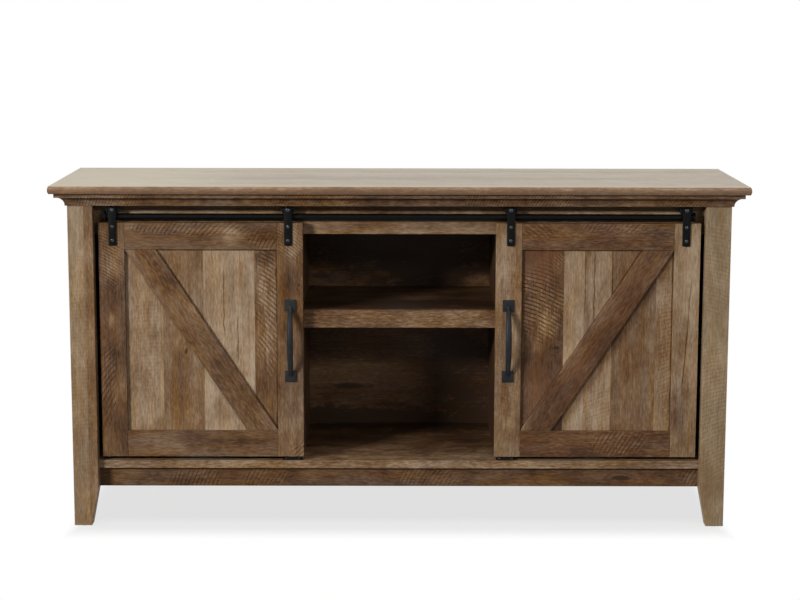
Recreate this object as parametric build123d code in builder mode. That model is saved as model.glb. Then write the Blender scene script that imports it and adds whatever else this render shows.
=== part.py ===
"""Low media stand with two top-hung sliding doors, in millimetres.

The origin is on the floor at the middle of the stand. X runs along the width, the front looks
towards -Y and Z is up. The doors are drawn at home, in front of the two side bays.
"""
from build123d import *
from math import cos, pi, sin, sqrt
import os

os.makedirs("parts", exist_ok=True)

# Overall sizes
top_width = 1515.0
top_depth = 440.0
stand_height = 762.0
top_thick = 17.0
nose_bulge = 2.4  # how far the edge of the top bows out between its arrises

# Crown moulding under the top
crown_projection = 24.5  # from the leg faces
crown_fillet = 9.0  # square upper member
crown_cove = 16.0
crown_lip = 4.2
crown_lip_height = 3.0

# Legs
leg_inset = 36.0  # leg faces behind the nose of the top, at the front and the ends
rear_overhang = 3.0
leg_width = 55.0
leg_depth = 30.0
leg_foot_width = 39.0
leg_taper_height = 85.0
edge_break = 0.8  # small chamfer on exposed arrises

# Feet
glide_radius = 9.0
glide_thick = 2.0
glide_nail_radius = 1.2
glide_nail_length = 14.0

# Carcass boards
board_thick = 16.0  # end panels, partitions, kick board and rear rail
end_panel_setback = 6.0  # outer face behind the outer faces of the legs
bottom_thick = 18.0
bottom_setback = 15.0  # front edge behind the front faces of the legs
kick_height = 44.0
centre_bay_width = 430.0
track_board_thick = 18.0
track_board_height = 94.0
rear_rail_height = 60.0
shelf_thick = 18.0
shelf_front_height = 39.0
centre_shelf_rise = 334.0  # top of the fixed shelf above the bottom panel
side_shelf_thick = 15.0
side_shelf_rise = 270.0  # top of the loose shelves above the bottom panel
side_shelf_front_gap = 5.0
side_shelf_back_gap = 6.0
side_shelf_end_gap = 1.5

# Back panel and its cable slots
back_thick = 3.0
back_setback = 1.0  # from the rear faces of the legs
back_side_gap = 1.0
back_top_gap = 2.0
cable_slot_length = 90.0
cable_slot_height = 40.0
centre_slot_drop = 22.0  # top of a centre slot under the board above it
side_slot_rise = 130.0  # middle of a side slot above the bottom panel

# Shelf pins
pin_radius = 2.5
pin_depth = 8.0
pin_spade_length = 8.0
pin_spade_width = 7.0
pin_hole_pitch = 32.0
pin_hole_count = 3
pin_inset = 60.0  # pin columns from the front and back edges of the loose shelves
pin_clearance = 0.1

# Flats of the bars, bolts and holes that the boards hide, and of the small screw heads
fitting_sides = 8
head_sides = 12
head_taper = 30.0

# Dowels
dowel_radius = 4.0
dowel_length = 24.0
dowel_clearance = 0.1
dowel_end_gap = 1.0
leg_dowel_count = 2
leg_dowel_spacing = 440.0
track_dowel_spacing = 45.0
kick_dowel_count = 3
kick_dowel_spacing = 450.0

# Cam fittings that pull the boards together
cam_radius = 7.5
cam_thick = 12.0
cam_setback = 34.0  # cam centre from the end of its board
cam_bolt_radius = 3.0
cam_bolt_depth = 8.0  # bolt axis under the face that the cam opens in
cam_bolt_bite = 12.0  # length of the bolt in the mating board
cam_clearance = 0.1
cam_front_inset = 78.0  # front fittings behind the carcass front
cam_back_inset = 68.0  # rear fittings in front of the back panel
cam_dowel_offset = 45.0  # dowels behind the fittings of the same joint

# Doors
door_setback = 13.0  # door faces behind the front faces of the legs
door_thick = 19.0
door_leg_gap = 9.0
door_cover = 4.0  # inner edge of a closed door past the face of its partition
door_floor_gap = 9.0
door_rail_gap = 6.5  # door top under the rail
door_run_gap = 8.0  # air behind the doors
door_meeting_gap = 2.0
stile_width = 57.0
door_rail_width = 59.0
door_panel_thick = 6.0
door_panel_recess = 8.0
door_panel_slack = 0.2
door_panel_end_gap = 1.5
frame_groove_depth = 9.0
tenon_end_gap = 0.5
brace_width = 57.0
brace_thick = 7.0

# Floor guides in the grooves under the doors
guide_groove_width = 5.0
guide_groove_depth = 10.0
guide_clearance = 0.5
guide_top_gap = 2.5
guide_fin_length = 20.0
guide_base_length = 42.0
guide_base_width = 13.0
guide_base_thick = 3.0
guide_inset = 26.0  # middle of the guide from the inner edge of a closed door
guide_screw_spacing = 28.0
guide_screw_radius = 1.5
guide_screw_head_radius = 2.8
guide_screw_head_thick = 1.4
guide_screw_bite = 10.0

# Rail that carries the doors
rail_radius = 6.5
rail_wall = 1.5
rail_drop = 54.0  # rail axis under the top
rail_end_gap = 14.5  # end of the tube past the outer axle
rail_cap_radius = 10.0
rail_cap_thick = 5.5
rail_cap_plug = 12.0
rail_cap_slack = 0.1
rail_fixing_count = 5
rail_fixing_inset = 40.0  # end fixings from the ends of the tube
rail_fixing_drop = 3.0  # fixings under the rail axis, clear of the wheel flanges
rail_spacer_radius = 3.5
rail_screw_radius = 2.0
rail_screw_clearance = 0.1
rail_screw_head_radius = 4.0
rail_screw_head_thick = 2.5

# Hanger straps and grooved wheels
strap_width = 17.0
strap_thick = 3.0
strap_overlap = 50.0  # on the door face
strap_inset = 32.0  # strap axis from the door edges
strap_screw_drop = 8.0  # upper screw under the door top
strap_screw_pitch = 30.0
strap_screw_radius = 2.0
strap_screw_bite = 14.0
strap_screw_head_radius = 4.2
strap_screw_head_rise = 2.2
screw_clearance = 0.1
wheel_width = 18.0
wheel_strap_gap = 2.0
wheel_side_clearance = 0.3
wheel_groove_radius = 9.2
wheel_flange_rise = 5.4
wheel_sides = 36  # facets that stand for the round rim
wheel_rail_clearance = 0.3
axle_radius = 3.0
axle_clearance = 0.08
axle_collar_radius = 5.0
axle_head_radius = 5.2
axle_head_rise = 3.0
axle_nut_radius = 5.2
axle_nut_sides = 6
axle_nut_thick = 3.6

# Handles
handle_inset = 28.0  # handle axis from the inner edge of the door
handle_length = 184.0
handle_plate = 25.5
handle_plate_thick = 4.0
handle_plate_bevel = 2.2
handle_boss_radius = 5.2
handle_boss_rise = 3.0
handle_end_shift = 5.0  # roots of the grip from the plate centres, towards the middle
handle_stand_off = 30.0  # axis of the grip at its middle from the door face
handle_grip_end_width = 7.4
handle_grip_width = 13.4
handle_grip_end_thick = 6.0
handle_grip_thick = 8.5
handle_grip_corner = 0.3  # cut of the grip's corners, as a share of its thickness
handle_grip_fullness = 0.5  # below 1 the grip swells soon after its necks
handle_grip_sections = 9
handle_screw_radius = 2.0
handle_screw_head_radius = 4.0
handle_screw_head_thick = 2.0
handle_screw_bite = 3.0

# Planes and heights that the pieces share
half_width = top_width / 2
top_front_y = -top_depth / 2
top_back_y = top_depth / 2
top_under_z = stand_height - top_thick
leg_outer_x = half_width - leg_inset
leg_inner_x = leg_outer_x - leg_width
leg_front_y = top_front_y + leg_inset
leg_rear_y = leg_front_y + leg_depth
rear_leg_rear_y = top_back_y - rear_overhang
rear_leg_front_y = rear_leg_rear_y - leg_depth
end_outer_x = leg_outer_x - end_panel_setback
end_inner_x = end_outer_x - board_thick
end_mid_x = (end_outer_x + end_inner_x) / 2
kick_bottom_z = leg_taper_height
kick_top_z = kick_bottom_z + kick_height
floor_z = kick_top_z + bottom_thick
door_front_y = leg_front_y + door_setback
door_back_y = door_front_y + door_thick
door_mid_y = (door_front_y + door_back_y) / 2
carcass_front_y = door_back_y + door_run_gap
track_back_y = carcass_front_y + track_board_thick
track_bottom_z = top_under_z - track_board_height
back_front_y = rear_leg_rear_y - back_setback - back_thick
partition_inner_x = centre_bay_width / 2
partition_outer_x = partition_inner_x + board_thick
partition_mid_x = (partition_inner_x + partition_outer_x) / 2
rear_rail_front_y = back_front_y - board_thick
centre_shelf_top_z = floor_z + centre_shelf_rise
side_shelf_top_z = floor_z + side_shelf_rise
side_shelf_under_z = side_shelf_top_z - side_shelf_thick
side_shelf_front_y = track_back_y + side_shelf_front_gap
side_shelf_back_y = rear_leg_front_y - side_shelf_back_gap

# Door outline, the rail and the wheel axles
rail_z = top_under_z - rail_drop
door_outer_x = leg_inner_x - door_leg_gap
door_inner_x = partition_inner_x - door_cover
door_top_z = rail_z - rail_radius - door_rail_gap
door_bottom_z = floor_z + door_floor_gap
door_mid_z = (door_top_z + door_bottom_z) / 2
door_travel = door_inner_x - door_meeting_gap / 2
wheel_y = door_front_y + wheel_strap_gap + wheel_width / 2
rail_y = wheel_y
axle_z = rail_z + rail_radius + wheel_rail_clearance + wheel_groove_radius
strap_axes_x = (door_outer_x - strap_inset, door_inner_x + strap_inset)
strap_screws_z = (door_top_z - strap_screw_drop, door_top_z - strap_screw_drop - strap_screw_pitch)
rail_end_x = strap_axes_x[0] + rail_end_gap
guide_x = door_inner_x + guide_inset
fixing_z = rail_z - rail_fixing_drop

# Fitting positions: dowels are centred on the faces where two boards meet
leg_dowels_z = [
    (kick_bottom_z + top_under_z) / 2 + leg_dowel_spacing * (i - (leg_dowel_count - 1) / 2)
    for i in range(leg_dowel_count)
]
track_mid_y = (carcass_front_y + track_back_y) / 2
track_mid_z = (track_bottom_z + top_under_z) / 2
track_dowels_z = [track_mid_z - track_dowel_spacing / 2, track_mid_z + track_dowel_spacing / 2]
end_bolt_x = end_inner_x + cam_bolt_depth
partition_bolt_x = partition_outer_x - cam_bolt_depth
fittings_y = [carcass_front_y + cam_front_inset, back_front_y - cam_back_inset]
between_fittings_y = [y + cam_dowel_offset for y in fittings_y]
kick_mid_y = leg_rear_y + board_thick / 2
kick_dowels_x = [kick_dowel_spacing * (i - (kick_dowel_count - 1) / 2) for i in range(kick_dowel_count)]
rear_dowel_y = (rear_rail_front_y + back_front_y) / 2
rear_dowel_z = top_under_z - rear_rail_height / 2
pin_columns_y = [side_shelf_front_y + pin_inset, side_shelf_back_y - pin_inset]
pin_axis_z = side_shelf_under_z - pin_radius
pin_holes_z = [pin_axis_z + pin_hole_pitch * (i - (pin_hole_count - 1) / 2) for i in range(pin_hole_count)]
guide_screws_x = [
    way * guide_x + shift * guide_screw_spacing / 2 for way in (-1, 1) for shift in (-1, 1)
]
rail_fixing_end_x = rail_end_x - rail_fixing_inset
rail_fixings_x = [
    rail_fixing_end_x * (2 * i / (rail_fixing_count - 1) - 1) for i in range(rail_fixing_count)
]

x_way, y_way, z_way = Vector(1, 0, 0), Vector(0, 1, 0), Vector(0, 0, 1)


def save(piece, label):
    """Label a finished sub-part and write its STEP file."""
    piece.part.label = label
    export_step(piece.part, f"parts/{label}.step")


def block(low, high, mode=Mode.ADD):
    """Box between two corners, in the block that is being built."""
    low, high = Vector(*low), Vector(*high)
    size = high - low
    with Locations((low + high) / 2):
        Box(size.X, size.Y, size.Z, mode=mode)


def rod(start, way, length, radius, mode=Mode.ADD):
    """Round bar or hole from a start point along one direction."""
    with Locations(Plane(start, z_dir=way)):
        Cylinder(radius, length, align=(Align.CENTER, Align.CENTER, Align.MIN), mode=mode)


def peg(start, way, length, radius, mode=Mode.ADD, sides=fitting_sides):
    """Bar or hole with a few flats, for fittings that the boards hide."""
    with BuildSketch(Plane(start, z_dir=way)) as section:
        RegularPolygon(radius, sides)
    extrude(section.sketch, amount=length, mode=mode)


def dowel_holes(points, way):
    """Holes for dowels that are centred on the points."""
    reach = dowel_length / 2 + dowel_end_gap
    for point in points:
        peg(Vector(*point) - way * reach, way, 2 * reach, dowel_radius + dowel_clearance, Mode.SUBTRACT)


def button_head(seat, way, radius, rise):
    """Low screw head that narrows away from its seat."""
    with BuildSketch(Plane(seat, z_dir=way)) as foot:
        RegularPolygon(radius, head_sides)
    extrude(foot.sketch, amount=rise, taper=head_taper)


# Top: a bowed edge on the front and both ends, square at the back
with BuildPart() as top_panel:
    nose_mid_z = stand_height - top_thick / 2
    with BuildSketch(Plane.YZ):
        with BuildLine():
            Polyline(
                (top_front_y + nose_bulge, top_under_z),
                (top_back_y, top_under_z),
                (top_back_y, stand_height),
                (top_front_y + nose_bulge, stand_height),
            )
            ThreePointArc(
                (top_front_y + nose_bulge, stand_height),
                (top_front_y, nose_mid_z),
                (top_front_y + nose_bulge, top_under_z),
            )
        make_face()
    extrude(amount=half_width, both=True)
    arris_x = half_width - nose_bulge
    with BuildSketch(Plane.XZ):
        with BuildLine():
            Line((-arris_x, top_under_z), (arris_x, top_under_z))
            ThreePointArc((arris_x, top_under_z), (half_width, nose_mid_z), (arris_x, stand_height))
            Line((arris_x, stand_height), (-arris_x, stand_height))
            ThreePointArc((-arris_x, stand_height), (-half_width, nose_mid_z), (-arris_x, top_under_z))
        make_face()
    extrude(amount=top_depth, both=True, mode=Mode.INTERSECT)
    for bolt_x in (-end_bolt_x, -partition_bolt_x, partition_bolt_x, end_bolt_x):
        for bolt_y in fittings_y:
            peg(
                Vector(bolt_x, bolt_y, top_under_z),
                z_way,
                cam_bolt_bite + cam_clearance,
                cam_bolt_radius + cam_clearance,
                Mode.SUBTRACT,
            )
save(top_panel, "top_panel")


def crown_strip(plane, reach):
    """Crown moulding run along a plane's normal, drawn outwards and upwards from the leg faces."""
    lip_top_z = top_under_z - crown_fillet - crown_cove
    bottom_z = lip_top_z - crown_lip_height
    cove_top = (crown_projection, lip_top_z + crown_cove)
    cove_foot = (crown_lip, lip_top_z)
    cove_width = crown_projection - crown_lip
    cove_belly = (crown_projection - cove_width / sqrt(2), lip_top_z + crown_cove / sqrt(2))
    with BuildPart() as strip:
        with BuildSketch(plane):
            with BuildLine():
                ThreePointArc(cove_foot, cove_belly, cove_top)
                Polyline(
                    cove_top,
                    (crown_projection, top_under_z),
                    (0, top_under_z),
                    (0, bottom_z),
                    (crown_lip, bottom_z),
                    cove_foot,
                )
            make_face()
        extrude(amount=reach, both=True)
    return strip.part


# Crown strips, mitred at the two front corners
front_crown_plane = Plane((0, leg_front_y, 0), x_dir=(0, -1, 0), z_dir=(-1, 0, 0))
with BuildPart() as crown_front:
    add(crown_strip(front_crown_plane, top_width))
    with BuildSketch(Plane.XY):
        with BuildLine():
            Polyline(
                (-leg_outer_x, leg_front_y),
                (-leg_outer_x - crown_projection, leg_front_y - crown_projection),
                (leg_outer_x + crown_projection, leg_front_y - crown_projection),
                (leg_outer_x, leg_front_y),
                close=True,
            )
        make_face()
    extrude(amount=stand_height, mode=Mode.INTERSECT)
save(crown_front, "crown_front")

for side, way in (("left", -1), ("right", 1)):
    side_crown_plane = Plane((way * leg_outer_x, 0, 0), x_dir=(way, 0, 0), z_dir=(0, -way, 0))
    with BuildPart() as crown_side:
        add(crown_strip(side_crown_plane, top_width))
        with BuildSketch(Plane.XY):
            with BuildLine():
                Polyline(
                    (way * leg_outer_x, leg_front_y),
                    (way * (leg_outer_x + crown_projection), leg_front_y - crown_projection),
                    (way * (leg_outer_x + crown_projection), rear_leg_rear_y),
                    (way * leg_outer_x, rear_leg_rear_y),
                    close=True,
                )
            make_face()
        extrude(amount=stand_height, mode=Mode.INTERSECT)
    save(crown_side, f"crown_{side}")


# Legs: flat outside, tapered on the inside below the kick board, with a nailed glide underneath
foot_mid_x = leg_outer_x - leg_foot_width / 2
leg_stands = (("front", leg_front_y, leg_rear_y), ("rear", rear_leg_rear_y, rear_leg_front_y))
for side, way in (("left", -1), ("right", 1)):
    for stand, show_y, joint_y in leg_stands:
        with BuildPart() as leg:
            with BuildSketch(Plane.XZ.offset(-show_y)):
                with BuildLine():
                    Polyline(
                        (way * leg_outer_x, glide_thick),
                        (way * leg_outer_x, top_under_z),
                        (way * leg_inner_x, top_under_z),
                        (way * leg_inner_x, leg_taper_height),
                        (way * (leg_outer_x - leg_foot_width), glide_thick),
                        close=True,
                    )
                make_face()
            extrude(amount=show_y - joint_y)
            show_face = leg.faces().filter_by(Axis.Y).sort_by_distance((0, show_y, door_mid_z))[0]
            upright_edges = show_face.edges().filter_by(lambda edge: abs(edge.tangent_at(0.5).Z) > 0.5)
            chamfer(upright_edges, length=edge_break)
            dowel_holes([(way * end_mid_x, joint_y, z) for z in leg_dowels_z], y_way)
            if stand == "rear":
                dowel_holes([(way * leg_inner_x, rear_dowel_y, rear_dowel_z)], x_way)
            nail_foot = Vector(way * foot_mid_x, (show_y + joint_y) / 2, glide_thick)
            peg(nail_foot, z_way, glide_nail_length, glide_nail_radius, Mode.SUBTRACT)
        save(leg, f"{stand}_leg_{side}")

with BuildPart() as leg_glides:
    for way in (-1, 1):
        for stand, show_y, joint_y in leg_stands:
            foot = Vector(way * foot_mid_x, (show_y + joint_y) / 2, 0)
            peg(foot, z_way, glide_thick, glide_radius, sides=head_sides)
            peg(foot, z_way, glide_thick + glide_nail_length, glide_nail_radius)
save(leg_glides, "leg_glides")


def cam_pocket(centre, face_way, bolt_way, reach):
    """Pocket for a cam disc that opens along face_way, and its bolt hole along bolt_way."""
    depth = cam_thick + cam_clearance
    peg(centre - face_way * depth, face_way, depth, cam_radius + cam_clearance, Mode.SUBTRACT)
    bolt_start = centre - face_way * cam_bolt_depth
    peg(bolt_start, bolt_way, reach, cam_bolt_radius + cam_clearance, Mode.SUBTRACT)


# End panels between the legs
cam_z = top_under_z - cam_setback
for side, way in (("left", -1), ("right", 1)):
    inward = x_way * -way
    with BuildPart() as end_panel:
        block(
            (min(way * end_inner_x, way * end_outer_x), leg_rear_y, kick_bottom_z),
            (max(way * end_inner_x, way * end_outer_x), rear_leg_front_y, top_under_z),
        )
        for joint_y in (leg_rear_y, rear_leg_front_y):
            dowel_holes([(way * end_mid_x, joint_y, z) for z in leg_dowels_z], y_way)
        dowel_holes([(way * end_inner_x, track_mid_y, z) for z in track_dowels_z], x_way)
        for fitting_y in fittings_y:
            cam_pocket(Vector(way * end_inner_x, fitting_y, cam_z), inward, z_way, cam_setback)
            bolt_mouth = Vector(way * end_inner_x, fitting_y, kick_top_z + cam_bolt_depth)
            peg(
                bolt_mouth,
                -inward,
                cam_bolt_bite + cam_clearance,
                cam_bolt_radius + cam_clearance,
                Mode.SUBTRACT,
            )
        for column_y in pin_columns_y:
            for hole_z in pin_holes_z:
                mouth = Vector(way * end_inner_x, column_y, hole_z)
                peg(mouth, -inward, pin_depth + pin_clearance, pin_radius + pin_clearance, Mode.SUBTRACT)
    save(end_panel, f"end_panel_{side}")

# Bottom panel, notched round the four legs
bottom_front_y = leg_front_y + bottom_setback
with BuildPart() as bottom_panel:
    block((-end_inner_x, bottom_front_y, kick_top_z), (end_inner_x, back_front_y, floor_z))
    for way in (-1, 1):
        near_x, far_x = sorted((way * leg_inner_x, way * leg_outer_x))
        block((near_x, leg_front_y, kick_top_z), (far_x, leg_rear_y, floor_z), Mode.SUBTRACT)
        block((near_x, rear_leg_front_y, kick_top_z), (far_x, rear_leg_rear_y, floor_z), Mode.SUBTRACT)
    front_edges = bottom_panel.faces().sort_by(Axis.Y)[0].edges().filter_by(Axis.X)
    chamfer(front_edges, length=edge_break)
    dowel_holes([(x, kick_mid_y, kick_top_z) for x in kick_dowels_x], z_way)
    for way in (-1, 1):
        dowel_holes([(way * partition_mid_x, y, floor_z) for y in between_fittings_y], z_way)
        for fitting_y in fittings_y:
            cam_centre = Vector(way * (end_inner_x - cam_setback), fitting_y, kick_top_z)
            cam_pocket(cam_centre, -z_way, x_way * way, cam_setback)
    for screw_x in guide_screws_x:
        peg(
            Vector(screw_x, door_mid_y, floor_z),
            -z_way,
            guide_screw_bite,
            guide_screw_radius + screw_clearance,
            Mode.SUBTRACT,
        )
save(bottom_panel, "bottom_panel")

# Kick board, set against the back of the front legs
with BuildPart() as kick_board:
    block((-end_inner_x, leg_rear_y, kick_bottom_z), (end_inner_x, leg_rear_y + board_thick, kick_top_z))
    dowel_holes([(x, kick_mid_y, kick_top_z) for x in kick_dowels_x], z_way)
save(kick_board, "kick_board")

# Partitions, notched for the track board and the rear rail
shelf_mid_z = centre_shelf_top_z - shelf_thick / 2
for side, way in (("left", -1), ("right", 1)):
    outward = x_way * way
    near_x, far_x = sorted((way * partition_inner_x, way * partition_outer_x))
    with BuildPart() as partition:
        block((near_x, carcass_front_y, floor_z), (far_x, back_front_y, top_under_z))
        block((near_x, carcass_front_y, track_bottom_z), (far_x, track_back_y, top_under_z), Mode.SUBTRACT)
        block(
            (near_x, rear_rail_front_y, top_under_z - rear_rail_height),
            (far_x, back_front_y, top_under_z),
            Mode.SUBTRACT,
        )
        dowel_holes([(way * partition_mid_x, y, floor_z) for y in between_fittings_y], z_way)
        dowel_holes([(way * partition_inner_x, y, shelf_mid_z) for y in between_fittings_y], x_way)
        for fitting_y in fittings_y:
            cam_pocket(Vector(way * partition_outer_x, fitting_y, cam_z), outward, z_way, cam_setback)
        for column_y in pin_columns_y:
            for hole_z in pin_holes_z:
                mouth = Vector(way * partition_outer_x, column_y, hole_z)
                peg(mouth, -outward, pin_depth + pin_clearance, pin_radius + pin_clearance, Mode.SUBTRACT)
    save(partition, f"partition_{side}")

# Track board that the rail is screwed to
with BuildPart() as track_board:
    block((-end_inner_x, carcass_front_y, track_bottom_z), (end_inner_x, track_back_y, top_under_z))
    for way in (-1, 1):
        dowel_holes([(way * end_inner_x, track_mid_y, z) for z in track_dowels_z], x_way)
    for fixing_x in rail_fixings_x:
        peg(
            Vector(fixing_x, carcass_front_y, fixing_z),
            y_way,
            track_board_thick,
            rail_screw_radius + rail_screw_clearance,
            Mode.SUBTRACT,
        )
save(track_board, "track_board")

# Fixed shelf of the centre bay and the deep front that stiffens it
shelf_front_back_y = carcass_front_y + track_board_thick
with BuildPart() as centre_shelf:
    block(
        (-partition_inner_x, shelf_front_back_y, centre_shelf_top_z - shelf_thick),
        (partition_inner_x, back_front_y, centre_shelf_top_z),
    )
    for way in (-1, 1):
        dowel_holes([(way * partition_inner_x, y, shelf_mid_z) for y in between_fittings_y], x_way)
save(centre_shelf, "centre_shelf")

with BuildPart() as centre_shelf_front:
    block(
        (-partition_inner_x, carcass_front_y, centre_shelf_top_z - shelf_front_height),
        (partition_inner_x, shelf_front_back_y, centre_shelf_top_z),
    )
    front_edges = centre_shelf_front.faces().sort_by(Axis.Y)[0].edges().filter_by(Axis.X)
    chamfer(front_edges, length=edge_break)
save(centre_shelf_front, "centre_shelf_front")

# Loose shelves of the side bays and the pins that they lie on
for side, way in (("left", -1), ("right", 1)):
    near_x, far_x = sorted(
        (way * (partition_outer_x + side_shelf_end_gap), way * (end_inner_x - side_shelf_end_gap))
    )
    with BuildPart() as side_shelf:
        block(
            (near_x, side_shelf_front_y, side_shelf_under_z),
            (far_x, side_shelf_back_y, side_shelf_top_z),
        )
    save(side_shelf, f"side_shelf_{side}")

with BuildPart() as shelf_pins:
    for way in (-1, 1):
        for face_x, into in ((way * partition_outer_x, way), (way * end_inner_x, -way)):
            for column_y in pin_columns_y:
                peg(Vector(face_x, column_y, pin_axis_z), x_way * -into, pin_depth, pin_radius)
                near_x, far_x = sorted((face_x, face_x + into * pin_spade_length))
                block(
                    (near_x, column_y - pin_spade_width / 2, pin_axis_z - pin_radius),
                    (far_x, column_y + pin_spade_width / 2, side_shelf_under_z),
                )
save(shelf_pins, "shelf_pins")

# Rear rail under the back of the top
with BuildPart() as rear_rail:
    block(
        (-leg_inner_x, rear_rail_front_y, top_under_z - rear_rail_height),
        (leg_inner_x, back_front_y, top_under_z),
    )
    for way in (-1, 1):
        dowel_holes([(way * leg_inner_x, rear_dowel_y, rear_dowel_z)], x_way)
save(rear_rail, "rear_rail")

# Back panel with a cable slot for each bay, the centre ones high under the boards above them
centre_slots_z = [
    board_z - centre_slot_drop - cable_slot_height / 2
    for board_z in (centre_shelf_top_z - shelf_thick, top_under_z - rear_rail_height)
]
side_slot_x = (partition_outer_x + end_inner_x) / 2
side_slot_z = floor_z + side_slot_rise
cable_slots = [(0, z) for z in centre_slots_z] + [(-side_slot_x, side_slot_z), (side_slot_x, side_slot_z)]
with BuildPart() as back_panel:
    back_half = leg_inner_x - back_side_gap
    back_top_z = top_under_z - back_top_gap
    block((-back_half, back_front_y, kick_top_z), (back_half, back_front_y + back_thick, back_top_z))
    with BuildSketch(Plane.XZ.offset(-back_front_y)):
        with Locations(*cable_slots):
            SlotOverall(cable_slot_length, cable_slot_height)
    extrude(amount=-back_thick, mode=Mode.SUBTRACT)
save(back_panel, "back_panel")

# Dowels and cam fittings
dowel_axes = {
    y_way: [
        (way * end_mid_x, joint_y, z)
        for way in (-1, 1)
        for joint_y in (leg_rear_y, rear_leg_front_y)
        for z in leg_dowels_z
    ],
    z_way: [(way * partition_mid_x, y, floor_z) for way in (-1, 1) for y in between_fittings_y]
    + [(x, kick_mid_y, kick_top_z) for x in kick_dowels_x],
    x_way: [(way * end_inner_x, track_mid_y, z) for way in (-1, 1) for z in track_dowels_z]
    + [(way * partition_inner_x, y, shelf_mid_z) for way in (-1, 1) for y in between_fittings_y]
    + [(way * leg_inner_x, rear_dowel_y, rear_dowel_z) for way in (-1, 1)],
}
with BuildPart() as dowels:
    for way, points in dowel_axes.items():
        for point in points:
            peg(Vector(*point) - way * (dowel_length / 2), way, dowel_length, dowel_radius)
save(dowels, "dowels")

cam_joints = []
for way in (-1, 1):
    for fitting_y in fittings_y:
        cam_joints += [
            (Vector(way * end_inner_x, fitting_y, cam_z), x_way * -way, z_way),
            (Vector(way * partition_outer_x, fitting_y, cam_z), x_way * way, z_way),
            (Vector(way * (end_inner_x - cam_setback), fitting_y, kick_top_z), -z_way, x_way * way),
        ]
with BuildPart() as cam_locks:
    for centre, face_way, bolt_way in cam_joints:
        peg(centre - face_way * cam_thick, face_way, cam_thick, cam_radius)
    for centre, face_way, bolt_way in cam_joints:
        bolt_start = centre - face_way * cam_bolt_depth
        peg(bolt_start, bolt_way, cam_setback, cam_bolt_radius + cam_clearance, Mode.SUBTRACT)
save(cam_locks, "cam_locks")

with BuildPart() as cam_bolts:
    for centre, face_way, bolt_way in cam_joints:
        bolt_start = centre - face_way * cam_bolt_depth + bolt_way * cam_clearance
        peg(bolt_start, bolt_way, cam_setback + cam_bolt_bite - cam_clearance, cam_bolt_radius)
save(cam_bolts, "cam_bolts")

# Rail: a tube with a flanged plug in each end, stood off the track board on coped spacers
with BuildPart() as door_rail:
    rod(Vector(-rail_end_x, rail_y, rail_z), x_way, 2 * rail_end_x, rail_radius)
    rod(Vector(-rail_end_x, rail_y, rail_z), x_way, 2 * rail_end_x, rail_radius - rail_wall, Mode.SUBTRACT)
    for fixing_x in rail_fixings_x:
        peg(
            Vector(fixing_x, rail_y, fixing_z),
            y_way,
            rail_radius,
            rail_screw_radius + rail_screw_clearance,
            Mode.SUBTRACT,
        )
save(door_rail, "door_rail")

with BuildPart() as rail_end_caps:
    for way in (-1, 1):
        face = Vector(way * rail_end_x, rail_y, rail_z)
        rod(face, x_way * way, rail_cap_thick, rail_cap_radius)
        plug_radius = rail_radius - rail_wall - rail_cap_slack
        peg(face - x_way * (way * rail_cap_plug), x_way * way, rail_cap_plug, plug_radius)
save(rail_end_caps, "rail_end_caps")

with BuildPart() as rail_spacers:
    for fixing_x in rail_fixings_x:
        start = Vector(fixing_x, rail_y, fixing_z)
        reach = carcass_front_y - rail_y
        peg(start, y_way, reach, rail_spacer_radius)
        peg(start, y_way, reach, rail_screw_radius + rail_screw_clearance, Mode.SUBTRACT)
    rod(Vector(-rail_end_x, rail_y, rail_z), x_way, 2 * rail_end_x, rail_radius, Mode.SUBTRACT)
save(rail_spacers, "rail_spacers")

with BuildPart() as rail_screws:
    for fixing_x in rail_fixings_x:
        peg(Vector(fixing_x, rail_y, fixing_z), y_way, track_back_y - rail_y, rail_screw_radius)
        peg(Vector(fixing_x, track_back_y, fixing_z), y_way, rail_screw_head_thick, rail_screw_head_radius)
save(rail_screws, "rail_screws")

# Floor guides: a fin on a screwed base, standing in the groove under each door
with BuildPart() as door_guides:
    fin_half = guide_groove_width / 2 - guide_clearance
    fin_top_z = door_bottom_z + guide_groove_depth - guide_top_gap
    base_top_z = floor_z + guide_base_thick
    for mid_x in (-guide_x, guide_x):
        block(
            (mid_x - guide_base_length / 2, door_mid_y - guide_base_width / 2, floor_z),
            (mid_x + guide_base_length / 2, door_mid_y + guide_base_width / 2, base_top_z),
        )
        block(
            (mid_x - guide_fin_length / 2, door_mid_y - fin_half, base_top_z),
            (mid_x + guide_fin_length / 2, door_mid_y + fin_half, fin_top_z),
        )
    for screw_x in guide_screws_x:
        peg(
            Vector(screw_x, door_mid_y, floor_z),
            z_way,
            guide_base_thick,
            guide_screw_radius + screw_clearance,
            Mode.SUBTRACT,
        )
save(door_guides, "door_guides")

with BuildPart() as guide_screws:
    for screw_x in guide_screws_x:
        seat = Vector(screw_x, door_mid_y, base_top_z)
        peg(seat, -z_way, guide_base_thick + guide_screw_bite, guide_screw_radius)
        peg(seat, z_way, guide_screw_head_thick, guide_screw_head_radius)
save(guide_screws, "guide_screws")

# Door frame section: the panel lies in a groove that is set back from the face
panel_front_y = door_front_y + door_panel_recess
panel_back_y = panel_front_y + door_panel_thick
groove_front_y = panel_front_y - door_panel_slack / 2
groove_back_y = panel_back_y + door_panel_slack / 2
frame_low_z = door_bottom_z + door_rail_width
frame_high_z = door_top_z - door_rail_width
guide_slot_low_y = door_mid_y - guide_groove_width / 2
guide_slot_high_y = door_mid_y + guide_groove_width / 2
guide_slot_z = door_bottom_z + guide_groove_depth
handle_ends_z = (
    door_mid_z - (handle_length - handle_plate) / 2,
    door_mid_z + (handle_length - handle_plate) / 2,
)
handle_screw_reach = door_thick + handle_screw_bite


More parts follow.
